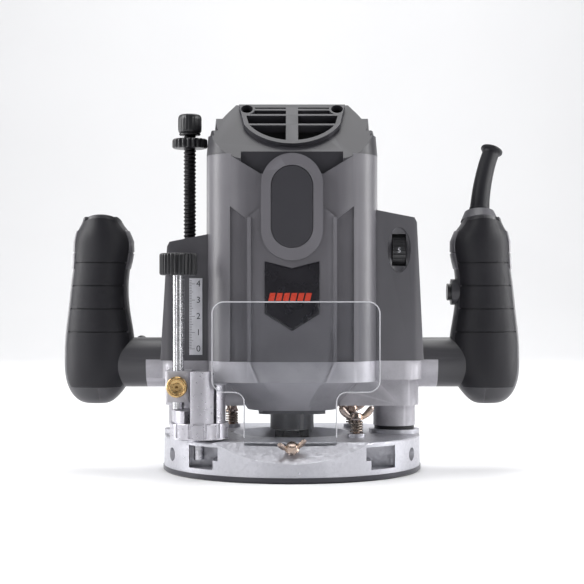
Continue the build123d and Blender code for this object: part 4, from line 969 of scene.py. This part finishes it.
def grip_bands():
    """Two paler bands round the rear of each grip, parted by a seam."""
    grey = FINISH_OF_SLOT["grey_plastic"]
    for label, side in (("right", 1), ("left", -1)):
        bands = joined([grip_band(126.4, 136.6, side), grip_band(137.1, 151.0, side)])
        make_piece(label + "_grip_bands", bands, "motor_unit", "handle_plastic", finish=grey)


def air_baffle():
    """Black sheet across the middle of the cap, behind both grilles, that puts painted shade inside the cap: a
    rectangle under a flattened half circle.
    """
    a = np.linspace(0, np.pi, 24)
    arch = list(zip(33 * np.cos(a), 214 + 11 * np.sin(a)))
    outline = [(-33, 198.5), (33, 198.5), (33, 214)] + arch + [(-33, 214)]
    # Painted shade: a black sheet so that the inside of the cap reads dark through the grilles.
    make_piece("air_baffle", prism(outline, -1.0, 1.0), "motor_unit", "black_plastic")


air_baffle()
front_badge()
rating_plate()
depth_scale()
knobs()
height_rod()
thumb_screw()
wing_bolts()
plunge_lever()
cord_sleeve()
dial_figure()
shield_edge()
grip_bands()


# ---- floor, light and camera ----
def pale_floor():
    """Pale paper with a faint mottle."""
    material, nodes, links = blank_material("pale_floor")
    paper_frame = nodes.new("NodeFrame")
    paper_frame.label = "paper"
    place = nodes.new("ShaderNodeTexCoord")
    place.label = "place on the floor"
    place.location = (-700, 0)
    mottle = nodes.new("ShaderNodeTexNoise")
    mottle.label = "paper mottle"
    mottle.location = (-500, 0)
    mottle.inputs["Scale"].default_value = 3.0
    tint = nodes.new("ShaderNodeValToRGB")
    tint.label = "pale grey to white"
    tint.location = (-300, 0)
    low, high = tint.color_ramp.elements
    low.color, high.color = (0.80, 0.80, 0.81, 1), (0.84, 0.84, 0.85, 1)
    surface = nodes.new("ShaderNodeBsdfPrincipled")
    surface.label = "matt paper"
    surface.location = (0, 0)
    surface.inputs["Roughness"].default_value = 0.8
    out = nodes.new("ShaderNodeOutputMaterial")
    out.location = (280, 0)
    for node in (mottle, tint):
        node.parent = paper_frame
    links.new(place.outputs["Object"], mottle.inputs["Vector"])
    links.new(mottle.outputs["Fac"], tint.inputs["Fac"])
    links.new(tint.outputs["Color"], surface.inputs["Base Color"])
    links.new(surface.outputs["BSDF"], out.inputs["Surface"])
    return material


def backdrop():
    """Floor in metres: a flat run, a quarter circle up and a wall, carried straight across."""
    near, far, radius, top, half_width = -4.0, 1.5, 1.2, 3.2, 4.0
    bend = np.radians(np.linspace(0, 90, 40))
    sweep = np.stack([far + radius * np.sin(bend), radius - radius * np.cos(bend)], -1)
    run = np.vstack([[(near, 0.0)], sweep, [(far + radius, top)]])
    across = np.array([-half_width, half_width])
    points = np.stack(np.broadcast_arrays(across, run[:, :1], run[:, 1:]), -1)
    rows = np.arange(len(run) - 1) * 2
    faces = np.stack([rows, rows + 1, rows + 3, rows + 2], -1).tolist()
    mesh = bpy.data.meshes.new("floor")
    mesh.from_pydata(points.reshape(-1, 3).tolist(), [], faces)
    mesh.shade_smooth()
    mesh.materials.append(pale_floor())
    floor = bpy.data.objects.new("floor", mesh)
    bpy.context.scene.collection.objects.link(floor)


def soft_light(name, at, toward, size, power, tall=None):
    """Rectangular softbox at a place, facing a point, seen only by what it lights."""
    lamp = bpy.data.lights.new(name, "AREA")
    lamp.shape = "RECTANGLE"
    lamp.size = size
    lamp.size_y = tall or size
    lamp.energy = power
    light = bpy.data.objects.new(name, lamp)
    light.location = at
    light.rotation_euler = (Vector(toward) - Vector(at)).to_track_quat("-Z", "Y").to_euler()
    light.visible_camera = False
    bpy.context.scene.collection.objects.link(light)


def studio_light():
    """Two keys, a top, strips for the sides, low lamps in the corners, and one for the wall behind."""
    middle, foot = (0, 0, 0.12), (0, 0, 0.06)
    soft_light("key_left", (-1.0, -0.45, 0.75), middle, 0.5, 9)
    soft_light("key_right", (1.0, -0.45, 0.65), middle, 0.5, 6)
    for corner in (-0.9, 0.9):
        soft_light("front_low", (corner, -1.2, 0.16), foot, 0.3, 1.4)
        soft_light("rear_low", (corner, 1.2, 0.16), foot, 0.3, 1.1)
    soft_light("top", (0.0, 0.1, 1.4), (0, 0, 0.1), 0.7, 7)
    soft_light("strip_left", (-0.7, 0.05, 0.25), (0, 0, 0.14), 0.18, 4, tall=0.8)
    soft_light("strip_right", (0.7, 0.05, 0.25), (0, 0, 0.14), 0.18, 4, tall=0.8)
    soft_light("rear", (0.3, 1.0, 1.2), (0, 0, 0.1), 0.5, 3.5)
    soft_light("wall", (0, 0.9, 2.0), (0, 2.7, 0.7), 1.6, 42)
    world = bpy.data.worlds.new("studio")
    world.use_nodes = True
    background = world.node_tree.nodes["Background"]
    background.inputs["Color"].default_value = (0.95, 0.97, 1.0, 1)
    background.inputs["Strength"].default_value = 0.15
    bpy.context.scene.world = world
    bpy.context.scene.view_settings.view_transform = "Standard"


def camera():
    """Level view from the front, nearly a metre away, a little under the middle of the machine."""
    lens = bpy.data.cameras.new("camera")
    lens.lens = 92.0
    lens.sensor_width = 36.0
    eye = bpy.data.objects.new("camera", lens)
    eye.location = (0.0, -0.95, 0.112)
    eye.rotation_euler = (math.radians(90), 0, 0)
    bpy.context.scene.collection.objects.link(eye)
    bpy.context.scene.camera = eye


backdrop()
studio_light()
camera()
